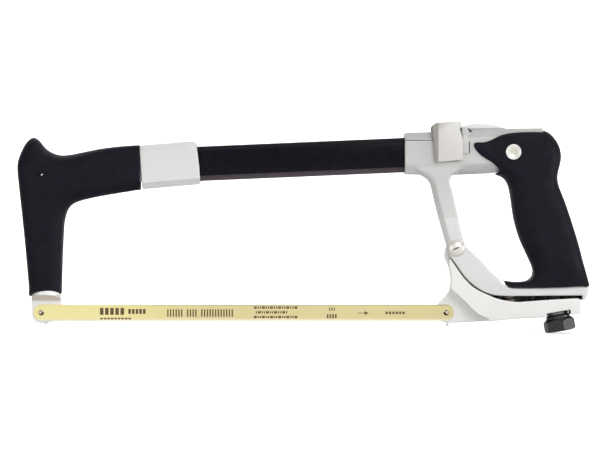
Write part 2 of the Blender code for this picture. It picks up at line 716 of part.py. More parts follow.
def pivot_parts():
    """Bolt with a domed slotted head, its nut, two washers and the bush in the lever's eye."""
    face = ARM_WIDTH_HALF + GAP
    dome = [(6.0 * math.cos(math.radians(a)), face + 0.6 + 2.6 * math.sin(math.radians(a)))
            for a in range(0, 80, 15)]
    profile = [(PIVOT_R, -face - 4.8), (PIVOT_R, face), (6.0, face)] + dome
    bolt = as_object(moved(turned(profile, 32), Matrix.Rotation(math.radians(90), 4, "X")))
    slot = prism(box_outline(-2.7, 2.7, -0.5, 0.5), -face - 5, -face - 2.2)
    cut(bolt, moved(slot, Matrix.Rotation(math.radians(24), 4, "Y")))
    bolt.data.transform(Matrix.Translation(Vector((PIVOT[0], 0, PIVOT[1])) * MM))
    add_node("pivot_bolt", bolt, "saw_root", "bright_steel", (PIVOT[0], 0, PIVOT[1]))
    nut = as_object(along_y(turned([(5.2, face), (5.8, face + 0.5), (5.8, face + 4.5),
                                    (5.2, face + 5.0)], 6), *PIVOT))
    cut(nut, along_y(rod(PIVOT_R + GAP, 5, 20, 24), *PIVOT))
    add_node("pivot_nut", nut, "saw_root", "bright_steel", (PIVOT[0], 0, PIVOT[1]))
    for name, low, high in (("pivot_washer_near", -3.9, -3.3), ("pivot_washer_far", 3.3, 3.9)):
        washer = as_object(along_y(ring_solid(6.2, PIVOT_R + GAP, low, high), *PIVOT))
        add_node(name, washer, "saw_root", "spring_steel", (PIVOT[0], 0, PIVOT[1]))
    bush = as_object(along_y(ring_solid(BUSH_R, PIVOT_R + GAP, -2.9, 2.9), *PIVOT))
    add_node("pivot_bush", bush, "lever_body", "bronze")


# ---------------------------------------------------------------- tension lever and its screw

LEVER_LEFT = smooth([(302.4, 40.0), (301.4, 37.0), (302.8, 30.7), (303.3, 24.0), (302.9, 18.8)], 2)
CREASE = smooth([(303.2, 17.6), (308.2, 12.8), (313.3, 8.1), (318.8, 2.6), (323.9, -1.6),
                 (330.5, -4.4)], 3)
LEVER_BOTTOM = [(331.0, -6.2), (352.8, -4.2), (374.5, -3.0), (398.2, -0.7)]
LEVER_TOP = [(398.9, 0.6), (398.9, 9.4), (397.2, 10.9), (377.2, 9.9), (352.8, 8.1), (346.8, 8.6),
             (340.1, 9.8)]
LEVER_UPPER = smooth([(336.0, 11.0), (331.1, 13.0), (324.2, 16.2), (318.1, 20.2), (312.1, 26.5),
                      (306.2, 34.9), (303.0, 39.6)], 3)

FLANGE_OUTLINE = (
    smooth([(303.3, 25.0), (303.0, 18.8), (301.0, 14.5), (297.6, 10.3), (294.5, 6.9), (293.9, 2.0),
            (294.6, -3.0), (296.3, -6.4), (299.5, -7.5)], 2)
    + [(305.2, -7.5), (331.5, -6.2), (340.0, 0.0), (320.0, 18.0)]
)

TONGUE_OUTLINE = (
    arc(PIVOT, EYE_R, 0, 150, 10)
    + smooth([(299.0, 47.0), (298.4, 43.0), (299.0, 39.2), (300.9, 35.5), (302.9, 30.0)], 2)
    + [(308.0, 16.0), (321.0, 14.0), (316.0, 30.0)]
)


def tension_lever():
    """Cast lever: eye and tongue between the fork's cheeks, thick arm, thin flange for the blade."""
    arm_outline = LEVER_LEFT + CREASE + LEVER_BOTTOM + LEVER_TOP + LEVER_UPPER
    arm = prism(arm_outline, -LEVER_HALF, LEVER_HALF)
    chamfer_rims(arm, CREASE_SLOPE, lambda x, z, y: y < 0 and x < 330.0 and -4.5 < z < 17.5)
    obj = as_object(arm)
    join(obj, prism(FLANGE_OUTLINE, 0.0, FLANGE_THICKNESS))
    join(obj, prism(TONGUE_OUTLINE, -EYE_HALF, EYE_HALF))
    cut(obj, along_y(rod(BUSH_R + GAP, -6, 6, 24), *PIVOT))
    # channel in the arm's upper side, with a floor for the spring and a groove for the guide rib
    channel = [(322.0, 5.0), (326.0, 0.5), (366.0, 2.2), (372.0, 5.2), (402.0, 6.0), (402.0, 24.0),
               (322.0, 24.0)]
    cut(obj, prism(channel, -CHANNEL_HALF, CHANNEL_HALF))
    groove = [(326.0, 9.0), (321.9, 12.6), (315.4, 16.9), (313.6, 19.4), (318.0, 28.0), (326.0, 22.0)]
    cut(obj, prism(groove, RIB_NEAR - 0.5, CHANNEL_HALF))
    # slot that the screw passes through, and the round seat over the knob
    slide = 1.9
    for offset in (0.0, slide):
        hole = rod(SCREW_R + 0.6, 0.0, 18.0, 24)
        cut(obj, along_screw(moved(hole, Matrix.Translation(Vector((offset, 0, 0)) * MM))))
    middle = box_outline(0.0, slide, 0.0, 18.0)
    cut(obj, along_screw(prism(middle, -SCREW_R - 0.55, SCREW_R + 0.55)))
    cut(obj, along_screw(rod(RECESS_R, -6.0, SEAT_T, 40)))
    rear_pin_x = BLADE_LENGTH + PIN_OFFSET_X
    cut(obj, along_y(rod(PIN_R + GAP, -2, PIN_DEEP + 0.5, 20), rear_pin_x, PIN_Z))
    peg = rod(SIDE_PIN_R + GAP, -20, -3.0, 16)
    cut(obj, moved(peg, Matrix.Translation(Vector((301.6, FLANGE_THICKNESS / 2, 0)) * MM)))
    add_node("tension_lever", obj, "lever_body", "cast_aluminium")


def tension_screw_parts():
    """Knob, screw, thrust washer and nut on the tilted screw axis."""
    bottom = -KNOB_HEIGHT
    hexagon = [(KNOB_CORNER_R, bottom), (KNOB_CORNER_R, 0.0)]
    knob = as_object(turned(hexagon, 6, math.radians(40)))
    crown = [(9.9, bottom), (KNOB_CORNER_R + 0.2, bottom + 1.5), (KNOB_CORNER_R + 0.2, -2.6), (9.6, 0.0)]
    combine(knob, turned(crown, 40), "INTERSECT")
    join(knob, turned([(8.8, -2.0), (8.8, 1.0), (7.6, 2.1)], 28))
    cut(knob, rod(SCREW_R + GAP, bottom + 2.5, 5.0, 24))
    knob.data.transform(along_screw_matrix())
    add_node("tension_knob", knob, "knob_body", "black_plastic")
    screw = as_object(along_screw(turned([(SCREW_R, bottom + 2.9), (SCREW_R, 40.0),
                                          (SCREW_R - 0.8, 41.0)], 24)))
    add_node("tension_screw", screw, "knob_body", "spring_steel")
    washer = as_object(along_screw(ring_solid(WASHER_R, SCREW_R + GAP, 2.4, SEAT_T - GAP)))
    add_node("thrust_washer", washer, "screw_carrier", "bright_steel")
    nut = as_object(along_screw(turned([(NUT_R, NUT_LOW), (NUT_R, NUT_HIGH)], 6, math.radians(30))))
    cut(nut, along_screw(rod(SCREW_R + GAP, 10.0, 30.0, 24)))
    add_node("tension_nut", nut, "saw_root", "bright_steel")


def lever_spring():
    """Coil spring between the lever's channel and the pocket in the base, closed at both ends."""
    low, high = 2.6, 15.9
    radius, wire, turns, sides = 4.0, 0.6, 5.5, 8
    steps = int(turns * 14)
    rings = []
    for step in range(steps + 1):
        part = step / steps
        angle = 2 * math.pi * turns * part
        centre = Vector((radius * math.cos(angle), radius * math.sin(angle),
                         low + (high - low) * part))
        out = Vector((math.cos(angle), math.sin(angle), 0))
        ring = []
        for side in range(sides):
            turn = 2 * math.pi * side / sides
            place = centre + out * wire * math.cos(turn) + Vector((0, 0, wire * math.sin(turn)))
            ring.append((place + Vector((SPRING_X, 0, 0))) * MM)
        rings.append(ring)
    add_node("lever_spring", as_object(closed_mesh(rings, True, True)), "saw_root", "spring_steel")


# ---------------------------------------------------------------- clamp

def clamp_lever():
    """Cam with a flat lever that lies on the sleeve when the clamp is closed."""
    cam = []
    for step in range(32):
        angle = 360.0 * step / 32
        away = abs((angle - 270.0 + 180.0) % 360.0 - 180.0)
        radius = CAM_CLOSED_R - (CAM_CLOSED_R - CAM_OPEN_R) * min(away, 90.0) / 90.0
        turn = math.radians(angle)
        cam.append((CAM_AXIS[0] + radius * math.cos(turn), CAM_AXIS[1] + radius * math.sin(turn)))
    obj = as_object(prism(cam, -CAM_HALF, CAM_HALF))
    top = smooth([(343.4, 136.6), (338.7, 138.1), (333.0, 139.3), (326.0, 139.8), (319.0, 139.7),
                  (315.0, 138.8), (311.5, 137.9), (306.0, 138.4), (301.0, 139.2)], 2)
    bottom = [(301.5, 135.0), (306.0, 134.7)]
    bottom += [(x, sleeve_top(x) - LEVER_SINK) for x in (312.0, 332.0, 343.4)]
    arm = prism(top + bottom, -CLAMP_LEVER_HALF, CLAMP_LEVER_HALF)
    join(obj, arm)
    cut(obj, along_y(rod(CAM_PIN_R + GAP, -20, 20, 20), *CAM_AXIS))
    add_node("clamp_lever", obj, "clamp_lever_body", "cast_aluminium")


def clamp_strap():
    """Strap over the sleeve: two side plates with inward hooks and a top plate slotted for the lever."""
    middle = Vector((301.2, 0, 126.5)) * MM
    lean = Matrix.Translation(middle) @ Matrix.Rotation(-STRAP_LEAN, 4, "Y") @ Matrix.Translation(-middle)
    outline = ([(290.1, 112.1), (312.4, 112.1), (312.4, 137.0)] + arc((308.9, 137.2), 3.6, 10, 90, 4)
               + arc((293.6, 137.2), 3.6, 90, 170, 4))
    obj = as_object(moved(prism(outline, -STRAP_OUT, STRAP_OUT), lean))
    inside = [(280.0, 100.0), (320.0, 100.0), (320.0, 138.9), (280.0, 138.4)]
    cut(obj, prism(inside, -STRAP_IN, STRAP_IN))
    cut(obj, prism(box_outline(296.2, 320.0, 130.0, 150.0), -8.0, 8.0))
    cut(obj, along_y(rod(CAM_PIN_R + GAP, -13.8, 13.8, 20), *CAM_AXIS))
    for side in (-1, 1):
        low, high = sorted((side * 9.5, side * 13.0))
        join(obj, prism(box_outline(294.0, 308.0, 113.0, 116.2), low, high))
    add_node("clamp_strap", obj, "saw_root", "strap_steel")


def clamp_pin():
    obj = as_object(along_y(rod(CAM_PIN_R, -13.5, 13.5, 20), *CAM_AXIS))
    add_node("clamp_pin", obj, "saw_root", "bright_steel", (CAM_AXIS[0], 0, CAM_AXIS[1]))


def clamp_jaw():
    """Pressure pad that the cam pushes down on the tube."""
    low = TUBE_HEIGHT / 2 + GAP
    x = CAM_AXIS[0] - TUBE_START[0]
    outline = box_outline(x - JAW_HALF_LENGTH, x + JAW_HALF_LENGTH, low, low + JAW_THICKNESS)
    bm = along_tube(prism(outline, -JAW_HALF_WIDTH, JAW_HALF_WIDTH))
    add_node("clamp_jaw", as_object(bm), "clamp_jaw_body", "spring_steel")


# ---------------------------------------------------------------- the saw

def build_saw():
    for obj in list(bpy.data.objects):
        bpy.data.objects.remove(obj, do_unlink=True)
    make_finishes()
    make_bodies()
    blade()
    blade_pin("front_blade_pin", -PIN_OFFSET_X, "front_frame")
    blade_pin("rear_blade_pin", BLADE_LENGTH + PIN_OFFSET_X, "lever_body")
    side_pin("front_side_pin", 3.4, TONGUE_THICKNESS / 2, -8.6, -3.3, "front_frame")
    side_pin("rear_side_pin", 301.6, FLANGE_THICKNESS / 2, -10.1, -3.3, "lever_body")
    frame_tube()
    tube_pin()
    tube_end_plug()
    front_casting()
    front_grip()
    rear_frame()
    rear_grip()
    grip_screw("grip_screw_near", -1)
    grip_screw("grip_screw_far", 1)
    pivot_parts()
    tension_lever()
    tension_screw_parts()
    lever_spring()
    clamp_strap()
    clamp_pin()
    clamp_lever()
    clamp_jaw()


build_saw()
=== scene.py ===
"""Looks of the hacksaw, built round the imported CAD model.

Lengths in this script are metres in the model's own frame; MM turns millimetres into them. Places
come from the CAD nodes' boxes and sections and from the joints' axes.
"""

import json
import math

import bmesh
import bpy
import numpy as np
from mathutils import Matrix, Vector


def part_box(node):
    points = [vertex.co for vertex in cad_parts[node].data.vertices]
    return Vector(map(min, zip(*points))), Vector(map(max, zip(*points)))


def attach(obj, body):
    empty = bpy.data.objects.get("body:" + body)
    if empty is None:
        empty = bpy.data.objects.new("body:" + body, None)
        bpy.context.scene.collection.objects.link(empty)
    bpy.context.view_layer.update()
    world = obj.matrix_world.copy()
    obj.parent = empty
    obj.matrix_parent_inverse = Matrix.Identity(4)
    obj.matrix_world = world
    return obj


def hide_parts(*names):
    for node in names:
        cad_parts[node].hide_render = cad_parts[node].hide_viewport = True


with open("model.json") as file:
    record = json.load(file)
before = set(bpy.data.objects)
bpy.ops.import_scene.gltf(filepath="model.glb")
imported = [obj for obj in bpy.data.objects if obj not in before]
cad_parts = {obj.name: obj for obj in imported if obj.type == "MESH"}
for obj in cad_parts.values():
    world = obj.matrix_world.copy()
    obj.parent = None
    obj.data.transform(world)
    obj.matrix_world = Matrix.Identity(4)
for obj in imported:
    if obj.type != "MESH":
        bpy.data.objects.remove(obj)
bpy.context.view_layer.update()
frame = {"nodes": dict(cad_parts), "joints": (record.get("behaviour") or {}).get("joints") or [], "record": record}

MM = 0.001
NODES = frame["nodes"]
JOINTS = {joint["name"]: joint for joint in frame["joints"]}
BODY_OF = {node: body for body, nodes in frame["record"]["behaviour"]["bodies"].items()
           for node in nodes}
SCENE = bpy.context.scene


# ---------------------------------------------------------------- places taken from the frame

def centre_of(node):
    low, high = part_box(node)
    return (low + high) / 2


PIVOT = Vector(JOINTS["lever_swing"]["pos_m"])
SCREW_TOP = Vector(JOINTS["knob_turn"]["pos_m"])
SCREW_DOWN = Vector(JOINTS["knob_turn"]["axis"])
BLADE_LOW, BLADE_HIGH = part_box("blade")
BLADE_END_R = 6.0 * MM
TOOTH_DEPTH = 0.62 * MM
TOOTH_SET = 0.16 * MM            # how far a tooth leans to its side
TEETH_PER_INCH = 24
TOOTH_ZONE = 9.0 * MM            # from a hole's centre to the first tooth
HOLE_R = 2.1 * MM
FRONT_HOLE_X = BLADE_LOW.x + 5.6 * MM
REAR_HOLE_X = BLADE_HIGH.x - 5.6 * MM
BLADE_MID_Z = BLADE_HIGH.z - BLADE_END_R
BLADE_FRONT_Y = BLADE_LOW.y


def at(x, z, y=0.0):
    """A point given in millimetres from the blade's front hole."""
    return Vector((FRONT_HOLE_X + x * MM, y * MM, BLADE_MID_Z + z * MM))


# ---------------------------------------------------------------- mesh tools

def new_object(name, bm):
    mesh = bpy.data.meshes.new(name)
    bm.to_mesh(mesh)
    bm.free()
    obj = bpy.data.objects.new(name, mesh)
    SCENE.collection.objects.link(obj)
    return obj


def apply_modifiers(obj):
    graph = bpy.context.evaluated_depsgraph_get()
    graph.update()
    mesh = bpy.data.meshes.new_from_object(obj.evaluated_get(graph))
    obj.modifiers.clear()
    obj.data = mesh


def node_bmesh(node, dissolve=True):
    """A welded bmesh of a CAD node, its flat triangles joined into whole faces."""
    source = NODES[node].data
    bm = bmesh.new()
    verts = [bm.verts.new(v.co) for v in source.vertices]
    for polygon in source.polygons:
        bm.faces.new([verts[i] for i in polygon.vertices])
    bmesh.ops.remove_doubles(bm, verts=bm.verts, dist=1e-6)
    if dissolve:
        bmesh.ops.dissolve_limit(bm, angle_limit=math.radians(0.4), verts=bm.verts, edges=bm.edges)
    bmesh.ops.recalc_face_normals(bm, faces=bm.faces)
    return bm


def softened(obj, voxel, rounds, flatten=None):
    """Remeshes an object evenly and rounds its edges, as a cast or moulded surface is.

    flatten is an object whose surface the new mesh is drawn back to before the rounding, which keeps
    flat faces flat.
    """
    remesh = obj.modifiers.new("remesh", "REMESH")
    remesh.mode = "VOXEL"
    remesh.voxel_size = voxel
    remesh.adaptivity = 0.0
    remesh.use_smooth_shade = True
    if flatten is not None:
        calm = obj.modifiers.new("calm", "SMOOTH")
        calm.factor = 0.5
        calm.iterations = 5
        wrap = obj.modifiers.new("wrap", "SHRINKWRAP")
        wrap.wrap_method = "NEAREST_SURFACEPOINT"
        wrap.target = flatten
    if rounds:
        smooth = obj.modifiers.new("smooth", "SMOOTH")
        smooth.factor = 0.5
        smooth.iterations = rounds
    apply_modifiers(obj)


def boolean(obj, bm, operation="DIFFERENCE"):
    tool = new_object("tool", bm)
    modifier = obj.modifiers.new("cut", "BOOLEAN")
    modifier.operation = operation
    modifier.solver = "EXACT"
    modifier.object = tool
    apply_modifiers(obj)
    bpy.data.objects.remove(tool)


def skin(rings):
    """A closed bmesh over rings of points, capped at both ends."""
    bm = bmesh.new()
    made = [[bm.verts.new(p) for p in ring] for ring in rings]
    for ring, after in zip(made, made[1:]):
        count = len(ring)
        for i in range(count):
            j = (i + 1) % count
            bm.faces.new((ring[i], ring[j], after[j], after[i]))
    bm.faces.new(list(reversed(made[0])))
    bm.faces.new(made[-1])
    bmesh.ops.recalc_face_normals(bm, faces=bm.faces)
    return bm


def circle(radius, z, steps, turn=0.0):
    ring = []
    for step in range(steps):
        angle = 2 * math.pi * step / steps + turn
        ring.append(Vector((radius * math.cos(angle), radius * math.sin(angle), z)))
    return ring


def turned(profile, steps=64):
    """A solid of revolution round Z from (radius, z) pairs in millimetres."""
    rings = [circle(radius * MM, z * MM, steps) for radius, z in profile]
    return skin(rings)


def prism(outline, y_low, y_high):
    """An outline of (x, z) points in metres extruded across the saw."""
    return skin([[Vector((x, y, z)) for x, z in outline] for y in (y_low, y_high)])


def rounded_edges(obj, width, segments=3, angle=30.0):
    bevel = obj.modifiers.new("bevel", "BEVEL")
    bevel.width = width
    bevel.segments = segments
    bevel.limit_method = "ANGLE"
    bevel.angle_limit = math.radians(angle)
    bevel.harden_normals = False
    apply_modifiers(obj)
    smooth_shade(obj, 40)


def smooth_shade(obj, angle):
    obj.data.shade_smooth()
    obj.data.set_sharp_from_angle(angle=math.radians(angle))


def place(obj, origin, axis):
    """Moves a piece made round Z to origin with its Z along axis."""
    turn = Vector((0, 0, 1)).rotation_difference(Vector(axis)).to_matrix().to_4x4()
    obj.data.transform(Matrix.Translation(origin) @ turn)


def finish_piece(obj, material, node):
    """Gives a piece its material and lets it ride in its CAD node's place."""
    obj.data.materials.clear()
    obj.data.materials.append(material)
    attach(obj, BODY_OF[node])
    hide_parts(node)


# ---------------------------------------------------------------- materials

class Nodes:
    """Short calls for building a shader tree."""

    def __init__(self, name):
        self.material = bpy.data.materials.new(name)
        self.material.use_nodes = True
        self.tree = self.material.node_tree
        self.shader = self.tree.nodes["Principled BSDF"]
        self.where = self.make("ShaderNodeTexCoord").outputs["Object"]

    def make(self, kind, **settings):
        node = self.tree.nodes.new(kind)
        for key, value in settings.items():
            setattr(node, key, value)
        return node

    def link(self, source, target):
        self.tree.links.new(source, target)

    def stretched(self, scale):
        mapping = self.make("ShaderNodeMapping")
        mapping.inputs["Scale"].default_value = scale
        self.link(self.where, mapping.inputs["Vector"])
        return mapping.outputs["Vector"]

    def noise(self, scale, detail=3.0, roughness=0.55, where=None):
        node = self.make("ShaderNodeTexNoise")
        node.inputs["Scale"].default_value = scale
        node.inputs["Detail"].default_value = detail
        node.inputs["Roughness"].default_value = roughness
        self.link(where or self.where, node.inputs["Vector"])
        return node.outputs["Fac"]

    def cells(self, scale):
        node = self.make("ShaderNodeTexVoronoi")
        node.inputs["Scale"].default_value = scale
        self.link(self.where, node.inputs["Vector"])
        return node.outputs["Distance"]

    def spread(self, value, low, high, from_low=0.3, from_high=0.7):
        node = self.make("ShaderNodeMapRange")
        node.inputs["From Min"].default_value = from_low
        node.inputs["From Max"].default_value = from_high
        node.inputs["To Min"].default_value = low
        node.inputs["To Max"].default_value = high
        self.link(value, node.inputs["Value"])
        return node.outputs["Result"]

    def math(self, operation, a, b):
        node = self.make("ShaderNodeMath", operation=operation)
        for value, socket in zip((a, b), node.inputs):
            if isinstance(value, (int, float)):
                socket.default_value = value
            else:
                self.link(value, socket)
        return node.outputs["Value"]

    def mix(self, fac, a, b):
        node = self.make("ShaderNodeMix", data_type="RGBA")
        for value, socket in ((fac, node.inputs[0]), (a, node.inputs[6]), (b, node.inputs[7])):
            if isinstance(value, (int, float)):
                socket.default_value = value
            elif isinstance(value, tuple):
                socket.default_value = (*value, 1.0)
            else:
                self.link(value, socket)
        return node.outputs[2]

    def bump(self, height, strength, distance, under=None):
        node = self.make("ShaderNodeBump")
        node.inputs["Strength"].default_value = strength
        node.inputs["Distance"].default_value = distance
        self.link(height, node.inputs["Height"])
        if under is not None:
            self.link(under, node.inputs["Normal"])
        return node.outputs["Normal"]

    def in_box(self, low, high):
        """1 inside a box given in the model's frame, 0 outside."""
        split = self.make("ShaderNodeSeparateXYZ")
        self.link(self.where, split.inputs[0])
        inside = 1.0
        for axis, start, end in zip("XYZ", low, high):
            along = split.outputs[axis]
            inside = self.math("MULTIPLY", inside, self.math("GREATER_THAN", along, start))
            inside = self.math("MULTIPLY", inside, self.math("LESS_THAN", along, end))
        return inside

    def near_axis(self, centre, radius, soft):
        """1 within a radius of an axis that runs across the saw, fading out over the last part."""
        flat = self.make("ShaderNodeVectorMath", operation="MULTIPLY")
        flat.inputs[1].default_value = (1.0, 0.0, 1.0)
        self.link(self.where, flat.inputs[0])
        away = self.make("ShaderNodeVectorMath", operation="DISTANCE")
        away.inputs[1].default_value = (centre.x, 0.0, centre.z)
        self.link(flat.outputs[0], away.inputs[0])
        return self.spread(away.outputs["Value"], 1.0, 0.0, radius - soft, radius)

    def edges(self, low, high):
        """1 along convex edges, 0 elsewhere."""
        geometry = self.make("ShaderNodeNewGeometry")
        return self.spread(geometry.outputs["Pointiness"], 0.0, 1.0, low, high)

    def finish(self, colour, roughness, normal=None, metallic=0.0, **inputs):
        shader = self.shader.inputs
        shader["Metallic"].default_value = metallic
        for value, key in ((colour, "Base Color"), (roughness, "Roughness"), (normal, "Normal")):
            if value is None:
                continue
            if isinstance(value, float):
                shader[key].default_value = value
            else:
                self.link(value, shader[key])
        for key, value in inputs.items():
            shader[key.replace("_", " ")].default_value = value
        return self.material


def cast_metal(name, base, dark, painted_shadow=(), painted_shading=()):
    """Silver lacquered casting: fine grain, faint clouding, edges a little brighter from wear and from a painted
    highlight.

    painted_shadow lists boxes painted a mottled near black as shadow in recesses, grooves and gaps. Each of
    painted_shading is a box, a colour of painted shade, and how much of it the metal takes at the box's bottom and
    at its top.
    """
    n = Nodes(name)
    clouds = n.noise(55.0, 3.0)
    colour = n.mix(n.spread(clouds, 0.0, 0.3), base, dark)
    specks = n.noise(1900.0, 2.0)
    colour = n.mix(n.spread(specks, 0.0, 0.12, 0.58, 0.72), colour, (0.5, 0.5, 0.5))
    # worn edges and painted highlight: convex edges a little brighter
    colour = n.mix(n.math("MULTIPLY", n.edges(0.54, 0.64), 0.3), colour, (0.93, 0.93, 0.92))
    # painted shade: each box darkens the metal towards its colour, fading with height
    for (low, high), tone, at_bottom, at_top in painted_shading:
        split = n.make("ShaderNodeSeparateXYZ")
        n.link(n.where, split.inputs[0])
        fade = n.spread(split.outputs["Z"], at_bottom, at_top, low.z, high.z)
        colour = n.mix(n.math("MULTIPLY", n.in_box(low, high), fade), colour, tone)
    # painted shadow: a mottled near black for recesses, grooves and gaps
    painted_shadow_tone = n.mix(n.spread(n.noise(330.0, 3.0), 0.0, 1.0, 0.5, 0.72), (0.014, 0.012, 0.013),
                   (0.17, 0.16, 0.16))
    for low, high in painted_shadow:
        colour = n.mix(n.in_box(low, high), colour, painted_shadow_tone)
    grain = n.noise(1400.0, 4.0, 0.6)
    pits = n.cells(800.0)
    rough = n.spread(n.noise(240.0, 4.0), 0.42, 0.56)
    normal = n.bump(grain, 0.22, 0.00008)
    normal = n.bump(pits, 0.10, 0.00006, normal)
    return n.finish(colour, rough, normal, metallic=0.35, Specular_IOR_Level=0.45)


def rubber(name):
    """Black moulded rubber with a fine matt grain and a mould seam down its middle."""
    n = Nodes(name)
    mottle = n.noise(120.0, 5.0, 0.65)
    colour = n.mix(n.spread(mottle, 0.0, 1.0), (0.0044, 0.0026, 0.0074), (0.0084, 0.0052, 0.0132))
    dust = n.noise(900.0, 2.0)
    colour = n.mix(n.spread(dust, 0.0, 0.3, 0.55, 0.8), colour, (0.026, 0.020, 0.029))
    grain = n.cells(1100.0)
    fine = n.noise(2400.0, 2.0)
    split = n.make("ShaderNodeSeparateXYZ")
    n.link(n.where, split.inputs[0])
    across = n.math("ABSOLUTE", split.outputs["Y"], 0.0)
    seam = n.spread(across, 1.0, 0.0, 0.00008, 0.00045)
    normal = n.bump(grain, 0.4, 0.00013)
    normal = n.bump(fine, 0.2, 0.00006, normal)
    normal = n.bump(seam, 0.6, 0.00025, normal)
    rough = n.spread(n.noise(90.0, 3.0), 0.50, 0.66)
    return n.finish(colour, rough, normal, Specular_IOR_Level=0.15)


def tube_paint(name):
    """Semi-gloss black enamel: soft orange peel, rubbed corners, faces turned down painted lighter as a
    reflection.
    """
    n = Nodes(name)
    streaks = n.noise(40.0, 4.0, 0.6, n.stretched((0.15, 1.0, 1.0)))
    colour = n.mix(n.spread(streaks, 0.0, 1.0), (0.0024, 0.0021, 0.0054), (0.0048, 0.0042, 0.0088))
    colour = n.mix(n.math("MULTIPLY", n.edges(0.53, 0.62), 0.35), colour, (0.05, 0.048, 0.055))
    # painted reflection: faces turned down are painted a lighter grey
    facing = n.make("ShaderNodeSeparateXYZ")
    n.link(n.make("ShaderNodeNewGeometry").outputs["Normal"], facing.inputs[0])
    under = n.spread(facing.outputs["Z"], 1.0, 0.0, -0.75, -0.45)
    colour = n.mix(under, colour, (0.096, 0.080, 0.092))
    peel = n.noise(420.0, 2.0)
    normal = n.bump(peel, 0.12, 0.0001)
    rough = n.spread(n.noise(130.0, 4.0), 0.24, 0.34)
    return n.finish(colour, rough, normal, Specular_IOR_Level=0.11)


def plated_steel(name, colour=(0.78, 0.76, 0.71), stretch=(1.0, 1.0, 1.0), rough=(0.22, 0.34),
                 metallic=0.9, painted_shade_side=None, painted_shade_middle=None, painted_shadow=None):
    """Nickel plated steel with fine working marks along one direction.

    Painted shade darkens the box painted_shade_side and the round part painted_shade_middle; painted shadow
    blackens the box painted_shadow.
    """
    n = Nodes(name)
    marks = n.noise(700.0, 3.0, 0.5, n.stretched(stretch))
    tone = n.noise(120.0, 3.0)
    dark = tuple(c * 0.84 for c in colour)
    shade = n.mix(n.spread(tone, 0.0, 0.6), colour, dark)
    shade = n.mix(n.math("MULTIPLY", n.edges(0.53, 0.62), 0.5), shade, (0.92, 0.91, 0.88))
    # painted shade on one side
    if painted_shade_side:
        shade = n.mix(n.in_box(*painted_shade_side), shade, tuple(c * 0.7 for c in colour))
    # painted shade in a round middle
    if painted_shade_middle:
        shade = n.mix(n.near_axis(*painted_shade_middle), shade, (0.68, 0.69, 0.59))
    # painted shadow, near black
    if painted_shadow:
        shade = n.mix(n.in_box(*painted_shadow), shade, (0.02, 0.018, 0.016))
    normal = n.bump(marks, 0.05, 0.00004)
    return n.finish(shade, n.spread(marks, *rough), normal, metallic=metallic)


def blade_lacquer(name):
    """Gold lacquer on steel: long rolling streaks, lighter towards the hard tooth edge; painted light on the front
    part, painted shade on the back edge.
    """
    n = Nodes(name)
    split = n.make("ShaderNodeSeparateXYZ")
    n.link(n.where, split.inputs[0])
    streaks = n.noise(160.0, 5.0, 0.6, n.stretched((0.04, 1.0, 1.0)))
    speckle = n.noise(1100.0, 3.0)
    length = n.noise(7.0, 2.0, 0.5, n.stretched((1.0, 0.0, 0.0)))
    # painted light: the blade's front part is brighter gold, falling to a darker gold towards the rear
    front, rear = BLADE_LOW.x + 50 * MM, BLADE_LOW.x + 130 * MM
    painted_light_falloff = n.spread(split.outputs["X"], 0.0, 1.0, front, rear)
    gold = n.mix(painted_light_falloff, (1.0, 0.93, 0.42), (0.73, 0.64, 0.33))
    gold = n.mix(n.spread(length, 0.0, 0.4), gold, (0.80, 0.73, 0.42))
    gold = n.mix(n.spread(streaks, 0.0, 0.35), gold, (0.90, 0.74, 0.32))
    # painted shade along the back edge, stronger towards the rear
    back = n.spread(split.outputs["Z"], 0.0, 0.6, BLADE_HIGH.z - 1.3 * MM, BLADE_HIGH.z - 0.5 * MM)
    gold = n.mix(n.math("MULTIPLY", back, painted_light_falloff), gold, (0.42, 0.38, 0.26))
    gold = n.mix(n.spread(speckle, 0.0, 0.15, 0.45, 0.75), gold, (0.66, 0.53, 0.22))
    low = BLADE_LOW.z
    edge = n.spread(split.outputs["Z"], 1.0, 0.0, low + 0.9 * MM, low + 2.6 * MM)
    gold = n.mix(edge, gold, (0.95, 0.90, 0.68))
    normal = n.bump(streaks, 0.08, 0.00005)
    rough = n.spread(speckle, 0.32, 0.46)
    return n.finish(gold, rough, normal, metallic=0.2, Specular_IOR_Level=0.45)


def print_ink(name):
    """Dark brown print, a little worn."""
    n = Nodes(name)
    worn = n.noise(700.0, 3.0)
    colour = n.mix(n.spread(worn, 0.0, 0.6), (0.085, 0.045, 0.015), (0.20, 0.125, 0.045))
    return n.finish(colour, 0.5)


def knob_plastic(name):
    """Satin black moulded plastic, a little greyer where hands have rubbed its corners."""
    n = Nodes(name)
    mottle = n.noise(300.0, 4.0)
    colour = n.mix(n.spread(mottle, 0.0, 1.0), (0.008, 0.006, 0.008), (0.018, 0.013, 0.016))
    colour = n.mix(n.math("MULTIPLY", n.edges(0.52, 0.60), 0.5), colour, (0.10, 0.08, 0.09))
    grain = n.noise(1500.0, 3.0)
    normal = n.bump(grain, 0.25, 0.00008)
    return n.finish(colour, n.spread(mottle, 0.33, 0.48), normal, Specular_IOR_Level=0.5)


def bronze(name):
    n = Nodes(name)
    tone = n.noise(400.0, 3.0)
    colour = n.mix(n.spread(tone, 0.0, 1.0), (0.52, 0.33, 0.14), (0.62, 0.42, 0.2))
    return n.finish(colour, n.spread(tone, 0.3, 0.45), metallic=1.0)


def oiled_steel(name, dark=(0.10, 0.10, 0.11), light=(0.26, 0.26, 0.27)):
    n = Nodes(name)
    tone = n.noise(600.0, 4.0)
    colour = n.mix(n.spread(tone, 0.0, 1.0), dark, light)
    return n.finish(colour, n.spread(tone, 0.28, 0.42), metallic=1.0)


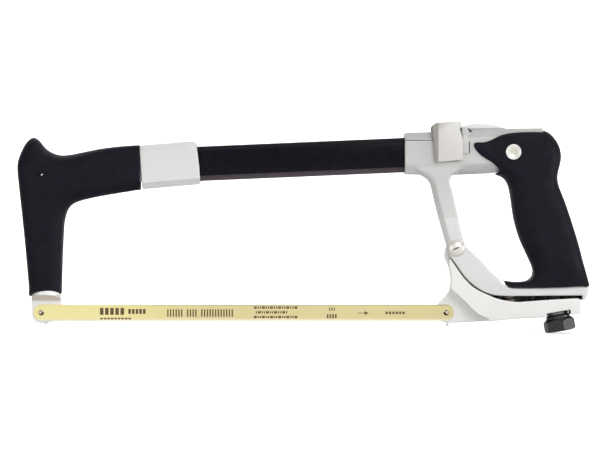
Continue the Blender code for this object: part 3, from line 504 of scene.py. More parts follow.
def stage_paper(name):
    """White paper, brighter to the camera than to the saw, and see-through from behind."""
    n = Nodes(name)
    tone = n.noise(3.0, 2.0)
    colour = n.mix(n.spread(tone, 0.0, 1.0), (0.62, 0.62, 0.62), (0.64, 0.64, 0.64))
    n.finish(colour, 0.9)
    glow = n.make("ShaderNodeEmission")
    glow.inputs["Strength"].default_value = PAPER_GLOW
    both = n.make("ShaderNodeAddShader")
    n.link(n.shader.outputs[0], both.inputs[0])
    n.link(glow.outputs[0], both.inputs[1])
    seen = n.make("ShaderNodeLightPath")
    choice = n.make("ShaderNodeMixShader")
    n.link(seen.outputs["Is Camera Ray"], choice.inputs["Fac"])
    n.link(n.shader.outputs[0], choice.inputs[1])
    n.link(both.outputs[0], choice.inputs[2])
    sides = n.make("ShaderNodeMixShader")
    n.link(n.make("ShaderNodeNewGeometry").outputs["Backfacing"], sides.inputs["Fac"])
    n.link(choice.outputs[0], sides.inputs[1])
    n.link(n.make("ShaderNodeBsdfTransparent").outputs[0], sides.inputs[2])
    n.link(sides.outputs[0], n.tree.nodes["Material Output"].inputs["Surface"])
    return n.material


PAPER_GLOW = 0.55
BEYOND = 30 * MM                # farther across than any piece
# boxes painted as shadow: the lever's channel, the seats seen through the blade's holes, the knob's recess and the
# sleeve's grooves
LEVER_CHANNEL = (at(322.4, 0.5, -7.15), at(401.0, 12.45, 7.15))
FRONT_SEAT = (at(-2.2, -2.2, -1.0), at(2.2, 0.3, 1.5))          # seen through the blade's holes
REAR_SEAT = (at(297.8, -2.2, -1.0), at(302.2, 0.3, 1.5))
KNOB_RECESS = (at(370.0, -4.5, -9.3), at(396.0, 2.6, 9.3))
SLEEVE_LINES = [(at(268.0, 127.05, -12.0), at(291.0, 127.55, 12.0)),
                (at(316.1, 117.6, -12.5), at(316.8, 126.6, 12.5)),
                (at(316.4, 133.6, -12.5), at(318.3, 135.2, 12.5))]
# boxes of painted shade: under the sleeve, over the sleeve and strut, over the collar and arm, and a warm one
# under the front casting's shoulder
SLEEVE_UNDERSIDE = (at(309.0, 101.0, -13.0), at(345.0, 110.5, 13.0))
SLEEVE_AND_STRUT = (at(260.0, 70.0, -20.0), at(380.0, 145.0, 20.0))
COLLAR_AND_ARM = (at(-20.0, 20.0, -20.0), at(130.0, 145.0, 20.0))
SHOULDER_UNDERSIDE = (at(-10.0, 9.0, -15.0), at(18.0, 13.2, 0.0))
# the grey of the painted shade, heavier towards the top
PAINTED_SHADE_GREY = (0.42, 0.42, 0.41)
# one silver lacquer in four copies whose base colours differ as painted light: lightest on the front casting and
# lever, darker on the clamp lever and rear frame
CAST_REAR = cast_metal("rear_casting_silver", (0.75, 0.74, 0.73), (0.65, 0.64, 0.63),
                       [LEVER_CHANNEL] + SLEEVE_LINES,
                       [(SLEEVE_AND_STRUT, PAINTED_SHADE_GREY, 0.25, 0.62),
                        (SLEEVE_UNDERSIDE, (0.38, 0.37, 0.37), 0.6, 0.0)])
CAST_FRONT = cast_metal("front_casting_silver", (0.94, 0.93, 0.93), (0.84, 0.84, 0.83), [FRONT_SEAT],
                        [(COLLAR_AND_ARM, PAINTED_SHADE_GREY, 0.1, 0.42),
                         (SHOULDER_UNDERSIDE, (0.50, 0.38, 0.32), 0.3, 0.5)])
CAST_LEVER = cast_metal("lever_casting_silver", (0.87, 0.86, 0.84), (0.77, 0.76, 0.74),
                        [LEVER_CHANNEL, KNOB_RECESS, REAR_SEAT])
CAST_CLAMP = cast_metal("clamp_casting_silver", (0.78, 0.77, 0.76), (0.68, 0.67, 0.66),
                        # painted shadow under the lever's cam end, and painted shade darkest along the lever's
                        # lower edge
                        [(at(306.0, 133.0, -9.0), at(317.0, 136.2, 9.0))],
                        [((at(317.0, 133.0, -9.0), at(346.0, 136.6, 9.0)), (0.2, 0.19, 0.18), 1.0, 0.35)])
# painted shade on the strap's left bend
STRAP = plated_steel("strap_plating", (0.50, 0.475, 0.445), (1.0, 1.0, 0.15), (0.36, 0.48), 0.45,
                     (at(285.0, 108.0, -20.0), at(293.5, 145.0, 20.0)))
STEEL = plated_steel("bright_plating", (0.88, 0.85, 0.79), rough=(0.26, 0.34), metallic=0.55)
# painted shade in the dished middle of the grip screws
SCREW_HEAD = plated_steel("screw_plating", (0.93, 0.91, 0.87), rough=(0.3, 0.38), metallic=0.4,
                          painted_shade_middle=(centre_of("grip_screw_near"), 4.3 * MM, 1.6 * MM))
HEAD_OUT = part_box("pivot_bolt")[0].y             # the top of the pivot's domed head
# painted shadow in the head's slot
PIVOT_HEAD = plated_steel("pivot_plating", (0.86, 0.83, 0.77), rough=(0.3, 0.38), metallic=0.45,
                          painted_shadow=(Vector((PIVOT.x - 3.6 * MM, HEAD_OUT + 0.65 * MM, PIVOT.z - 2.4 * MM)),
                                Vector((PIVOT.x + 2.4 * MM, HEAD_OUT + 2.6 * MM, PIVOT.z + 2.4 * MM))))
PIN = plated_steel("brassy_plating", (0.74, 0.60, 0.28), rough=(0.4, 0.5), metallic=0.3)
RUBBER = rubber("moulded_rubber")
PAINT = tube_paint("black_enamel")
GOLD = blade_lacquer("gold_lacquer")
INK = print_ink("brown_print")
KNOB = knob_plastic("satin_black")
BRONZE = bronze("bearing_bronze")
OILED = oiled_steel("oiled_steel")
SPRING_WIRE = oiled_steel("spring_wire", (0.30, 0.27, 0.26), (0.55, 0.50, 0.48))


# ---------------------------------------------------------------- castings

def blended(obj, low, high, margin, rounds):
    """Smooths the surface inside a box, fading out over a margin, as a broad cast fillet."""
    group = obj.vertex_groups.new(name="fillet")
    for vertex in obj.data.vertices:
        depth = min(min(vertex.co[k] - low[k], high[k] - vertex.co[k]) for k in (0, 2))
        if depth > 0:
            group.add([vertex.index], min(depth / margin, 1.0), "REPLACE")
    smooth = obj.modifiers.new("fillet", "SMOOTH")
    smooth.factor = 0.5
    smooth.iterations = rounds
    smooth.vertex_group = group.name
    apply_modifiers(obj)
    obj.vertex_groups.clear()


def casting(node, material, voxel, rounds, added=(), removed=(), fillets=()):
    """The CAD casting with evenly rounded edges, soft fillets, and any small cast details."""
    obj = new_object(node + "_cast", node_bmesh(node))
    for extra in added:
        boolean(obj, extra, "UNION")
    for groove in removed:
        boolean(obj, groove)
    shape = bpy.data.objects.new("shape", obj.data.copy())
    SCENE.collection.objects.link(shape)
    softened(obj, voxel, rounds, shape)
    bpy.data.objects.remove(shape)
    for low, high in fillets:
        blended(obj, low, high, 3.0 * MM, 60)
    obj.data.shade_smooth()
    finish_piece(obj, material, node)


def plate(outline, y_low, y_high):
    """An outline in millimetres from the front hole, extruded between two distances across the saw."""
    return prism([tuple(at(x, z).xz) for x, z in outline], y_low * MM, y_high * MM)


def disc(x, z, radius, y_low, y_high, steps=40):
    outline = []
    for step in range(steps):
        turn = 2 * math.pi * step / steps
        outline.append((x + radius * math.cos(turn), z + radius * math.sin(turn)))
    return plate(outline, y_low, y_high)


def clamp_bosses():
    """Cast details beside the strap: a knuckle, three small steps and a raised pad on each side."""
    shapes = []
    for side in (-1, 1):
        def span(near, far):
            return sorted((side * near, side * far))
        shapes.append(disc(313.2, 134.0, 2.7, *span(6.0, 12.1)))
        shapes.append(plate([(311.0, 117.3), (316.0, 117.3), (316.0, 126.4), (311.0, 126.4)],
                            *span(10.0, 12.7)))
        for step in range(3):
            x, z = 315.6 - 0.5 * step, 126.9 + 2.0 * step
            shapes.append(plate([(311.0, z), (x, z), (x, z + 1.2), (311.0, z + 1.2)],
                                *span(9.0, 12.6 - 0.3 * step)))
    return shapes


def sleeve_grooves():
    """Parting groove along the sleeve's upper edge, a slot beside the pad and a dimple, on each side."""
    shapes = []
    for side in (-1, 1):
        def span(near, far):
            return sorted((side * near, side * far))
        shapes.append(plate([(266.0, 126.9), (291.0, 127.2), (291.0, 128.1), (266.0, 127.8)],
                            *span(10.7, 14.0)))
        shapes.append(plate([(316.0, 117.6), (317.0, 117.6), (317.0, 126.6), (316.0, 126.6)],
                            *span(10.7, 14.0)))
        shapes.append(disc(317.4, 134.4, 1.0, *span(6.8, 14.0), 16))
    return shapes


# ---------------------------------------------------------------- rubber grips

def largest_loop(node, y):
    """The node's outer outline where the plane at y cuts it, as (x, z) points in order."""
    bm = node_bmesh(node, dissolve=False)
    geometry = bm.verts[:] + bm.edges[:] + bm.faces[:]
    result = bmesh.ops.bisect_plane(bm, geom=geometry, plane_co=(0, y, 0), plane_no=(0, 1, 0))
    edges = [g for g in result["geom_cut"] if isinstance(g, bmesh.types.BMEdge)]
    joined_to = {}
    for edge in edges:
        a, b = edge.verts
        joined_to.setdefault(a, []).append(b)
        joined_to.setdefault(b, []).append(a)
    loops = []
    unused = set(joined_to)
    while unused:
        start = min(unused, key=lambda v: (v.co.x, v.co.z))
        loop, before, here = [start], None, start
        while True:
            unused.discard(here)
            onward = [v for v in joined_to[here] if v is not before and v in unused]
            if not onward:
                break
            before, here = here, onward[0]
            loop.append(here)
        loops.append(np.array([(v.co.x, v.co.z) for v in loop]))
    bm.free()
    return max(loops, key=lambda points: np.ptp(points[:, 0]) * np.ptp(points[:, 1]))


def evenly(points, step):
    """Points spaced evenly along a closed outline."""
    closed = np.vstack([points, points[:1]])
    length = np.concatenate([[0], np.cumsum(np.linalg.norm(np.diff(closed, axis=0), axis=1))])
    count = int(length[-1] / step)
    where = np.linspace(0, length[-1], count, endpoint=False)
    return np.stack([np.interp(where, length, closed[:, k]) for k in (0, 1)], axis=1)


def calmed(points, rounds, corner_degrees=38.0, reach=3):
    """Smooths a closed outline but holds its real corners."""
    ahead = np.roll(points, -reach, axis=0) - points
    behind = points - np.roll(points, reach, axis=0)
    turn = np.degrees(np.abs(np.arctan2(
        behind[:, 0] * ahead[:, 1] - behind[:, 1] * ahead[:, 0], (behind * ahead).sum(1))))
    free = np.where(turn > corner_degrees, 0.0, 1.0)
    result = points.copy()
    for _ in range(rounds):
        middle = (np.roll(result, 1, axis=0) + np.roll(result, -1, axis=0)) / 2
        result += 0.5 * free[:, None] * (middle - result)
    return result


def distance_to(points, segments_a, segments_b):
    """Each point's distance to the nearest of many segments."""
    nearest = np.full(len(points), np.inf)
    for a, b in zip(segments_a, segments_b):
        along = b - a
        share = np.clip(((points - a) @ along) / (along @ along), 0.0, 1.0)
        gap = points - a - share[:, None] * along
        nearest = np.minimum(nearest, (gap ** 2).sum(1))
    return np.sqrt(nearest)


def step_between(value, low, high):
    """0 below low, 1 above high, smooth between."""
    t = np.clip((value - low) / (high - low), 0.0, 1.0)
    return t * t * (3 - 2 * t)


def grown(outline, distance):
    """A closed outline with every point moved out along its normal."""
    along = np.roll(outline, -1, axis=0) - np.roll(outline, 1, axis=0)
    along /= np.linalg.norm(along, axis=1)[:, None]
    area = (outline[:, 0] * np.roll(outline[:, 1], -1) - np.roll(outline[:, 0], -1) * outline[:, 1]).sum()
    return outline + distance * np.sign(area) * np.stack([along[:, 1], -along[:, 0]], axis=1)


def moulded(name, outline, is_open, half, shape):
    """A rounded solid from its side outline.

    is_open marks the outline's points where the rubber is cut off square, so nothing is rounded there.
    shape(d, x, z) is the half thickness at distance d inside the rest of the outline.
    """
    obj = new_object(name, prism([tuple(p) for p in outline], -half, half))
    softened(obj, 0.9 * MM, 0)
    after = np.roll(outline, -1, axis=0)
    kept = ~(is_open | np.roll(is_open, -1))
    count = len(obj.data.vertices)
    co = np.zeros(count * 3)
    obj.data.vertices.foreach_get("co", co)
    co = co.reshape(-1, 3)
    d = distance_to(co[:, [0, 2]], outline[kept], after[kept])
    co[:, 1] = np.clip(co[:, 1] / half, -1, 1) * shape(d, co[:, 0], co[:, 2])
    obj.data.vertices.foreach_set("co", co.ravel())
    obj.data.update()
    softened(obj, 0.7 * MM, 8)
    return obj


def bulge(d, reach, low, high, power=2.1):
    """Half thickness that rises from low at the outline to high at reach inside it."""
    t = np.clip(d / reach, 0.0, 1.0)
    return low + (high - low) * (1 - (1 - t) ** power) ** (1 / power)


def drain_hole():
    """Slightly oval hole through the front grip."""
    bm = turned([(1.45, -20), (1.45, 20)], 32)
    bm.transform(Matrix.Diagonal((1.12, 0.88, 1.0, 1.0)))
    bm.transform(Matrix.Translation(at(0.7, 102.2)) @ Matrix.Rotation(math.pi / 2, 4, "X"))
    return bm


def foot_cut():
    """Everything below the front rubber's lower edge, which is lowest in the middle plane."""
    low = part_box("front_grip")[0].z
    half, slope = 20 * MM, 0.32
    rings = []
    for x in (-30, 50):
        middle = low + 0.75 * MM + (x - 3.6) * 0.07 * MM
        ring = [(-half, low - half), (half, low - half), (half, middle + slope * half), (0, middle),
                (-half, middle + slope * half)]
        rings.append([Vector((at(x, 0).x, y, z)) for y, z in ring])
    return skin(rings)


RUBBER_SPARE = 0.35 * MM       # what the rounding takes off again


def front_grip():
    """Rubber round the front casting's arm: rounded handle, pommel on top, square cut at the collar."""
    low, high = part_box("front_grip")
    outline = calmed(evenly(largest_loop("front_grip", 8 * MM), 0.8 * MM), 12)
    outline = grown(outline, RUBBER_SPARE)
    x, z = outline[:, 0], outline[:, 1]
    at_collar = x > high.x - 2.4 * MM
    at_foot = z < low.z + 4.3 * MM
    end = outline[at_collar]
    upper, lower = end[end[:, 1].argmax()], end[end[:, 1].argmin()]
    outline = outline + np.stack([3 * MM * at_collar, -6 * MM * at_foot], axis=1)

    def shape(d, x, z):
        towards_collar = step_between(x, low.x + 30 * MM, high.x - 6 * MM)
        towards_foot = 1 - step_between(z, low.z, low.z + 45 * MM)
        rim = 2.4 * MM + 5.6 * MM * towards_collar + 0.6 * MM * towards_foot
        full = 13.4 * MM - 0.9 * MM * towards_collar - 0.6 * MM * towards_foot
        pommel = step_between(z, high.z - 16 * MM, high.z) * (x < low.x + 32 * MM)
        full = full - 3.0 * MM * pommel
        return bulge(d, 11.0 * MM - 3.0 * MM * towards_collar, rim, full)

    obj = moulded("front_grip_rubber", outline, at_collar | at_foot, 14 * MM, shape)
    line = (upper - lower) / np.linalg.norm(upper - lower) * 20 * MM
    shift = np.array([0.35 * MM, 0])
    far = np.array([30 * MM, 0])
    beyond = [lower - line + shift, lower - line + far, upper + line + far, upper + line + shift]
    boolean(obj, prism([tuple(p) for p in beyond], -BEYOND, BEYOND))
    boolean(obj, foot_cut())
    boolean(obj, drain_hole())
    boolean(obj, node_bmesh("front_casting"))
    smooth_shade(obj, 50)
    finish_piece(obj, RUBBER, "front_grip")


def rear_grip():
    """Rubber pistol grip: thin sides with a beak over the sleeve, a full handle, a toe on the base."""
    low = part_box("rear_grip")[0]
    outline = calmed(evenly(largest_loop("rear_grip", 13 * MM), 0.8 * MM), 12)
    outline = grown(outline, RUBBER_SPARE)
    x, z = outline[:, 0], outline[:, 1]
    toe = at(346.5, 0).x
    at_base = (z < low.z + 1.9 * MM + 0.9 * (toe - x).clip(0)) & (x > at(340.8, 0).x)
    run = outline[at_base]
    run = run[run[:, 0].argsort()] - np.array([0, 0.4 * MM])
    outline = outline + np.stack([0 * x, -3 * MM * at_base], axis=1)
    sleeve_low = at(0, 103.0).z
    chamfer_low = at(0, 129.6).z

    def shape(d, x, z):
        over_sleeve = step_between(z, sleeve_low - 7 * MM, sleeve_low + 6 * MM)
        over_sleeve *= 1 - step_between(x, at(372, 0).x, at(381, 0).x)
        drop = np.clip((z - chamfer_low) / (6.7 * MM), 0, 1) * 4.0 * MM
        towards_foot = 1 - step_between(z, low.z, low.z + 22 * MM)
        rim = 2.8 * MM + 7.2 * MM * towards_foot
        handle = bulge(d, 13.0 * MM, rim, 14.8 * MM - 1.5 * MM * towards_foot)
        side = bulge(d, 7.0 * MM, 12.5 * MM, 14.9 * MM) - drop
        return handle * (1 - over_sleeve) + np.maximum(side, handle) * over_sleeve

    obj = moulded("rear_grip_rubber", outline, at_base, 15 * MM, shape)
    room = [(300, 150), (371.4, 150), (371.4, 107.4), (332, 102.7), (300, 101)]
    boolean(obj, plate(room, -11.8, 11.8))
    toe_tip = [(341.4, 24.0), (345.2, 23.2), (352.0, 22.6), (352.0, 19.0), (345.0, 19.2)]
    boolean(obj, plate(toe_tip, -8.5, 8.5), "UNION")
    slope = run[0] - run[min(4, len(run) - 1)]
    slope = slope / np.linalg.norm(slope) * 8 * MM
    below = [tuple(run[0] + slope)] + [tuple(p) for p in run[::3]] + [tuple(run[-1])]
    below += [(run[-1][0] + 9 * MM, run[-1][1] - 1 * MM), (run[-1][0] + 9 * MM, low.z - 20 * MM),
              (run[0][0] - 20 * MM, low.z - 20 * MM), tuple(run[0] + slope + np.array([-9 * MM, 0]))]
    boolean(obj, prism(below, -BEYOND, BEYOND))
    boolean(obj, node_bmesh("rear_frame"))
    smooth_shade(obj, 50)
    finish_piece(obj, RUBBER, "rear_grip")


# ---------------------------------------------------------------- tube, strap, clamp

def frame_tube():
    """The CAD tube with rounded corners."""
    obj = new_object("frame_tube_painted", node_bmesh("frame_tube"))
    rounded_edges(obj, 0.7 * MM)
    finish_piece(obj, PAINT, "frame_tube")


def strap():
    """Bent sheet strap: broad bends over the top and down its front edge, small radii elsewhere."""
    low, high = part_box("clamp_strap")
    obj = new_object("clamp_strap_plated", node_bmesh("clamp_strap"))
    bm = bmesh.new()
    bm.from_mesh(obj.data)
    outer = high.y - 0.05 * MM

    def on_side(edge):
        return all(abs(v.co.y) > outer for v in edge.verts)

    def bend(chosen, width):
        edges = [e for e in bm.edges if len(e.link_faces) == 2 and on_side(e) and chosen(e)]
        bmesh.ops.bevel(bm, geom=edges, offset=width, offset_type="OFFSET", segments=6, profile=0.5,
                        affect="EDGES", clamp_overlap=True)

    top = at(0, 135.5).z
    middle_x = (low.x + high.x) / 2
    bend(lambda e: all(v.co.z > top for v in e.verts), 2.4 * MM)
    bend(lambda e: all(v.co.x < middle_x for v in e.verts) and e.calc_length() > 12 * MM, 2.8 * MM)
    bm.to_mesh(obj.data)
    bm.free()
    beyond_edge = [(308.4, 143.0), (309.4, 135.0), (311.3, 128.0), (311.5, 100.0), (320.0, 100.0),
                   (320.0, 143.0)]
    for side in (-1, 1):
        boolean(obj, plate(beyond_edge, *sorted((side * 10.5, side * 17.0))))
    rounded_edges(obj, 0.45 * MM, 3, 40.0)
    finish_piece(obj, STRAP, "clamp_strap")


# ---------------------------------------------------------------- blade

def blade():
    """Blade with rounded ends and fine set teeth, its two holes cut through."""
    pitch = 25.4 * MM / TEETH_PER_INCH
    thick = (BLADE_HIGH.y - BLADE_LOW.y) / 2
    mid_y = (BLADE_HIGH.y + BLADE_LOW.y) / 2
    root = BLADE_LOW.z + TOOTH_DEPTH
    tip = BLADE_LOW.z
    first = FRONT_HOLE_X + TOOTH_ZONE
    last = REAR_HOLE_X - TOOTH_ZONE
    columns = []

    def end_column(centre, angle):
        x = centre - BLADE_END_R * math.cos(angle)
        rise = BLADE_END_R * math.sin(angle)
        columns.append((x, BLADE_MID_Z + rise, max(BLADE_MID_Z - rise, root), 0.0))

    steps = 14
    for step in range(1, steps + 1):
        end_column(BLADE_LOW.x + BLADE_END_R, math.pi / 2 * step / steps)
    count = int((last - first) / pitch)
    for i in range(count):
        x = first + i * pitch
        sway = TOOTH_SET * math.sin(i * math.pi / 3)
        columns.append((x, BLADE_HIGH.z, root, sway))
        columns.append((x + 0.16 * pitch, BLADE_HIGH.z, tip, sway))
        columns.append((x + 0.34 * pitch, BLADE_HIGH.z, tip + 0.08 * MM, sway))
        columns.append((x + 0.97 * pitch, BLADE_HIGH.z, root, sway))
    for step in range(steps, 0, -1):
        angle = math.pi - math.pi / 2 * step / steps
        end_column(BLADE_HIGH.x - BLADE_END_R, angle)
    rings = []
    for x, top, low, sway in columns:
        body = low + min(0.9 * MM, 0.4 * (top - low))
        back = top - 0.12 * MM
        section = [(-thick, back), (-thick + 0.1 * MM, top), (thick - 0.1 * MM, top), (thick, back),
                   (thick, body), (thick + sway, low), (-thick + sway, low), (-thick, body)]
        rings.append([Vector((x, mid_y + y, z)) for y, z in section])
    obj = new_object("blade_strip", skin(rings))
    for x in (FRONT_HOLE_X, REAR_HOLE_X):
        hole = turned([(HOLE_R / MM, -4), (HOLE_R / MM, 4)], 48)
        hole.transform(Matrix.Translation((x, 0, BLADE_MID_Z)) @ Matrix.Rotation(math.pi / 2, 4, "X"))
        boolean(obj, hole)
    smooth_shade(obj, 25)
    finish_piece(obj, GOLD, "blade")


def bar(x, z, length, height):
    """One printed bar as an (x, z) outline, given in millimetres from the front hole."""
    shape = [(x, z), (x + length, z), (x + length, z + height), (x, z + height)]
    return [at(*p).xz for p in shape]


def blade_print():
    """Plain bars, ticks and an arrow, printed in a thin layer on the blade's face."""
    shapes = []
    # plain blocks near the front, smaller ones beside them and a fine line under both
    for k in range(5):
        shapes.append(bar(43.6 + k * 3.8, -1.6, 2.6, 5.1))
    for k in range(5):
        shapes.append(bar(64.6 + k * 2.7, -0.9, 1.9, 3.6))
    for k in range(9):
        shapes.append(bar(43.8 + k * 2.6, -5.0, 1.9, 1.2))
    # a row of tall plain bars in three groups
    x = 93.4
    for group in (6, 4, 12):
        for k in range(group):
            shapes.append(bar(x, -3.1, 1.0, 5.6))
            x += 2.05
        x += 2.3
    # three rows of fine dashes
    for row, (start, end) in enumerate(((157.6, 189.6), (159.0, 182.5), (157.6, 188.0))):
        x = start
        while x < end:
            length = 0.9 + 0.6 * ((row * 3 + int(x * 7)) % 3)
            shapes.append(bar(x, 2.9 - row * 3.5, length, 1.7))
            x += length + 0.7
    # ticks for the tooth count, the arrow that shows the cutting direction, and small dashes
    for k in range(3):
        shapes.append(bar(213.2 + k * 1.7, 1.4, 0.8, 2.4))
    for k in range(4):
        shapes.append(bar(211.6 + k * 2.0, -4.2, 1.2, 3.1))
    shapes.append(bar(234.8, -0.5, 5.0, 0.45))
    shapes.append([at(*p).xz for p in ((239.6, -1.7), (242.5, -0.28), (239.6, 1.15))])
    for k in range(6):
        shapes.append(bar(255.0 + k * 2.5, -1.1, 1.7, 1.9))
    bm = bmesh.new()
    far, near = BLADE_FRONT_Y - 0.004 * MM, BLADE_FRONT_Y - 0.02 * MM
    for shape in shapes:
        rings = [[bm.verts.new((x, y, z)) for x, z in shape] for y in (far, near)]
        count = len(shape)
        for i in range(count):
            j = (i + 1) % count
            bm.faces.new((rings[0][i], rings[0][j], rings[1][j], rings[1][i]))
        bm.faces.new(rings[1])
        bm.faces.new(list(reversed(rings[0])))
    bmesh.ops.recalc_face_normals(bm, faces=bm.faces)
    obj = new_object("blade_marks", bm)
    obj.data.materials.append(INK)
    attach(obj, BODY_OF["blade"])


# ---------------------------------------------------------------- screws and knob

def pivot_bolt():
    """Domed slotted head on its shank."""
    low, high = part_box("pivot_bolt")
    head, edge = 3.2, 0.7
    face = abs(low.y) / MM - head
    radius = (high.x - low.x) / MM / 2
    dome = [(radius * math.cos(math.radians(a)), face + edge + (head - edge) * math.sin(math.radians(a)))
            for a in range(0, 90, 6)]
    profile = [(3.0, -high.y / MM + 0.4), (3.0, face), (radius - 0.4, face), (radius, face + 0.35)]
    obj = new_object("pivot_bolt_head", turned(profile + dome + [(0.02, face + head)], 72))
    long, wide, half, depth = 2.3 * MM, 0.45 * MM, 4 * MM, 1.7 * MM
    bm = prism([(-long, -wide), (long, -wide), (long, wide), (-long, wide)], -half, half)
    lift = Matrix.Translation((-0.5 * MM, -0.25 * MM, (face + head) * MM + half - depth))
    bm.transform(lift @ Matrix.Rotation(math.radians(24), 4, "Z") @ Matrix.Rotation(math.pi / 2, 4, "X"))
    boolean(obj, bm)
    place(obj, Vector((PIVOT.x, 0, PIVOT.z)), (0, -1, 0))
    smooth_shade(obj, 30)
    finish_piece(obj, PIVOT_HEAD, "pivot_bolt")


def grip_screw(node, side):
    """Round head with a bright rim and a dished middle."""
    low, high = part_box(node)
    outer = max(abs(low.y), abs(high.y)) / MM
    inner = min(abs(low.y), abs(high.y)) / MM
    radius = (high.x - low.x) / MM / 2
    shank, rim = 2.5, 0.55
    profile = [(shank, inner), (shank, outer - 1.3), (radius - 0.3, outer - 1.3), (radius, outer - 0.9)]
    for angle in range(0, 181, 20):
        turn = math.radians(angle)
        profile.append((radius - rim + rim * math.cos(turn), outer - rim + rim * math.sin(turn)))
    for k in range(7):
        t = k / 6
        profile.append(((radius - 1.35) * (1 - t) + 0.03, outer - 0.75 - 0.55 * math.sin(t * math.pi / 2)))
    obj = new_object(node + "_head", turned(profile, 72))
    centre = centre_of(node)
    place(obj, Vector((centre.x, 0, centre.z)), (0, side, 0))
    smooth_shade(obj, 40)
    finish_piece(obj, SCREW_HEAD, node)


def tension_knob():
    """Moulded hexagon with domed corners top and bottom and a round collar, bored for the screw."""
    radius, height = 12.0, 10.2
    rings = [circle(radius * MM, z * MM, 6, math.radians(40)) for z in (-height, 0.0)]
    obj = new_object("tension_knob_hex", skin(rings))
    rounded_edges(obj, 0.6 * MM, 4)
    crown = [(9.7, -height), (11.0, -height + 0.5), (radius + 0.1, -height + 1.7), (radius + 0.1, -3.6),
             (11.2, -2.5), (9.9, -1.2), (8.0, 0.0)]
    boolean(obj, turned(crown, 96), "INTERSECT")
    boolean(obj, turned([(8.8, -2.0), (8.8, 0.9), (8.5, 1.4), (7.6, 2.1)], 72), "UNION")
    boolean(obj, turned([(4.3, -height + 2.5), (4.3, 5.0)], 48))
    boolean(obj, turned([(3.2, -height - 1.0), (3.2, -height + 0.8)], 48))
    place(obj, SCREW_TOP, -SCREW_DOWN)
    smooth_shade(obj, 28)
    finish_piece(obj, KNOB, "tension_knob")


def tension_screw():
    """Screw with a real helical thread."""
    radius, depth, pitch = 4.0 * MM, 0.6 * MM, 1.25 * MM
    bottom, top = -7.3 * MM, 41.0 * MM
    steps = 40
    count = int((top - bottom) / (pitch / 8))
    rings = []
    for level in range(count + 1):
        z = bottom + (top - bottom) * level / count
        ring = []
        for step in range(steps):
            angle = 2 * math.pi * step / steps
            phase = (z / pitch - step / steps) % 1.0
            cut = depth * abs(2 * phase - 1)
            taper = 0.5 * MM * max(0.0, (z - top + 1.0 * MM) / (1.0 * MM))
            r = radius - cut - taper
            ring.append(Vector((r * math.cos(angle), r * math.sin(angle), z)))
        rings.append(ring)
    obj = new_object("tension_screw_thread", skin(rings))
    place(obj, SCREW_TOP, -SCREW_DOWN)
    obj.data.shade_smooth()
    finish_piece(obj, OILED, "tension_screw")


def lever_spring():
    """Round wire coil between lever and base."""
    low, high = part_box("lever_spring")
    centre = centre_of("lever_spring")
    wire = 0.62 * MM
    radius = (high.x - low.x) / 2 - wire
    turns = 5.5
    steps = int(turns * 40)
    rings = []
    for step in range(steps + 1):
        part = step / steps
        angle = 2 * math.pi * turns * part
        out = Vector((math.cos(angle), math.sin(angle), 0))
        rise = low.z + wire + (high.z - low.z - 2 * wire) * part
        middle = Vector((centre.x, 0, 0)) + out * radius + Vector((0, 0, rise))
        ring = []
        for side in range(12):
            turn = 2 * math.pi * side / 12
            ring.append(middle + out * wire * math.cos(turn) + Vector((0, 0, wire * math.sin(turn))))
        rings.append(ring)
    obj = new_object("lever_spring_coil", skin(rings))
    obj.data.shade_smooth()
    finish_piece(obj, SPRING_WIRE, "lever_spring")


# ---------------------------------------------------------------- stage

def area_light(name, place_at, target, size, power):
    light = bpy.data.lights.new(name, "AREA")
    light.shape = "RECTANGLE"
    light.size, light.size_y = size
    light.energy = power
    obj = bpy.data.objects.new(name, light)
    obj.location = place_at
    obj.visible_camera = False
    direction = Vector(target) - Vector(place_at)
    obj.rotation_euler = direction.to_track_quat("-Z", "Y").to_euler()
    SCENE.collection.objects.link(obj)


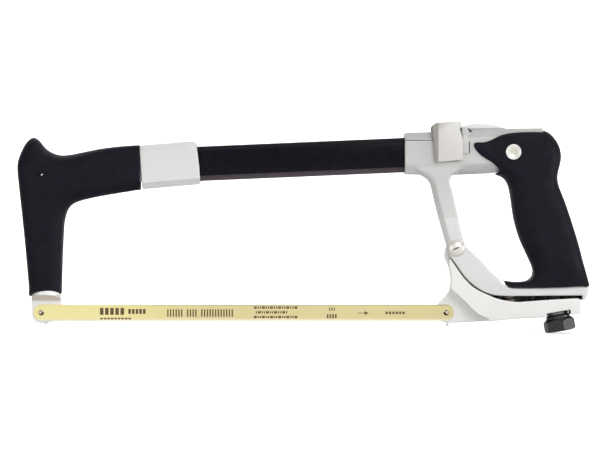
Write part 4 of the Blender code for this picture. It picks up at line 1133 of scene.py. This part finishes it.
def studio():
    """Pale sweep, soft lights all round, and a long lens looking straight at the saw's side."""
    floor_z = min(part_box(node)[0].z for node in NODES)
    depth, wide, tall, bend = 1.6, 6.0, 4.0, 0.8
    profile = [(-3.0, 0.0), (depth - bend, 0.0)]
    for step in range(1, 13):
        turn = math.pi / 2 * step / 12
        profile.append((depth - bend + bend * math.sin(turn), bend - bend * math.cos(turn)))
    profile.append((depth, tall))
    bm = bmesh.new()
    rows = [[bm.verts.new((x, y, floor_z + z)) for x in (-wide, wide)] for y, z in profile]
    for row, after in zip(rows, rows[1:]):
        bm.faces.new((row[0], row[1], after[1], after[0]))
    sweep = new_object("pale_sweep", bm)
    sweep.data.shade_smooth()
    sweep.data.materials.append(stage_paper("pale_paper"))
    world = bpy.data.worlds.new("studio_air")
    world.use_nodes = True
    world.node_tree.nodes["Background"].inputs["Color"].default_value = (1.0, 1.0, 1.0, 1.0)
    world.node_tree.nodes["Background"].inputs["Strength"].default_value = 0.24
    SCENE.world = world
    area_light("key", (0.6, -1.5, 0.95), (0, 0, -0.02), (1.0, 1.0), 15)
    area_light("fill", (-1.2, -1.4, 0.2), (-0.05, 0, -0.05), (1.2, 1.0), 8)
    area_light("top", (0.0, 0.1, 1.6), (0, 0, 0), (1.6, 1.2), 3)
    area_light("side", (1.5, -0.45, -0.02), (0.18, 0, -0.07), (0.5, 0.4), 12)
    area_light("low", (0.0, -0.3, -0.075), (0, 0, 0.06), (0.8, 0.2), 0.25)
    area_light("backdrop", (0.0, 0.7, 1.2), (0, 1.6, 0.0), (2.5, 0.5), 30)
    camera = bpy.data.cameras.new("camera")
    camera.lens = 162.0
    camera.sensor_width = 36.0
    camera.clip_end = 20.0
    eye = bpy.data.objects.new("camera", camera)
    target = at(191.7, 64.9)
    eye.location = target + Vector((0, -2.0, 0))
    eye.rotation_euler = (math.pi / 2, 0, 0)
    SCENE.collection.objects.link(eye)
    SCENE.camera = eye
    SCENE.view_settings.view_transform = "Standard"


# ---------------------------------------------------------------- the saw

def dress_the_rest():
    """CAD nodes whose shape is already right keep it and get their own material."""
    finishes = {
        "pivot_nut": STEEL, "clamp_pin": STEEL, "tension_nut": STEEL, "thrust_washer": OILED,
        "front_blade_pin": PIN, "rear_blade_pin": PIN, "front_side_pin": STEEL,
        "rear_side_pin": STEEL, "pivot_bush": BRONZE, "pivot_washer_near": OILED,
        "pivot_washer_far": OILED, "tube_pin": OILED, "clamp_jaw": OILED, "tube_end_plug": KNOB,
    }
    for node, material in finishes.items():
        obj = NODES[node]
        obj.data.materials.clear()
        obj.data.materials.append(material)


casting("rear_frame", CAST_REAR, 0.5 * MM, 8, clamp_bosses(), sleeve_grooves(),
        [(at(272.0, 95.0), at(322.0, 113.0))])
casting("front_casting", CAST_FRONT, 0.45 * MM, 7)
casting("tension_lever", CAST_LEVER, 0.45 * MM, 7)
casting("clamp_lever", CAST_CLAMP, 0.3 * MM, 8)
front_grip()
rear_grip()
frame_tube()
strap()
tension_knob()
blade()
blade_print()
pivot_bolt()
grip_screw("grip_screw_near", -1)
grip_screw("grip_screw_far", 1)
tension_screw()
lever_spring()
dress_the_rest()
studio()
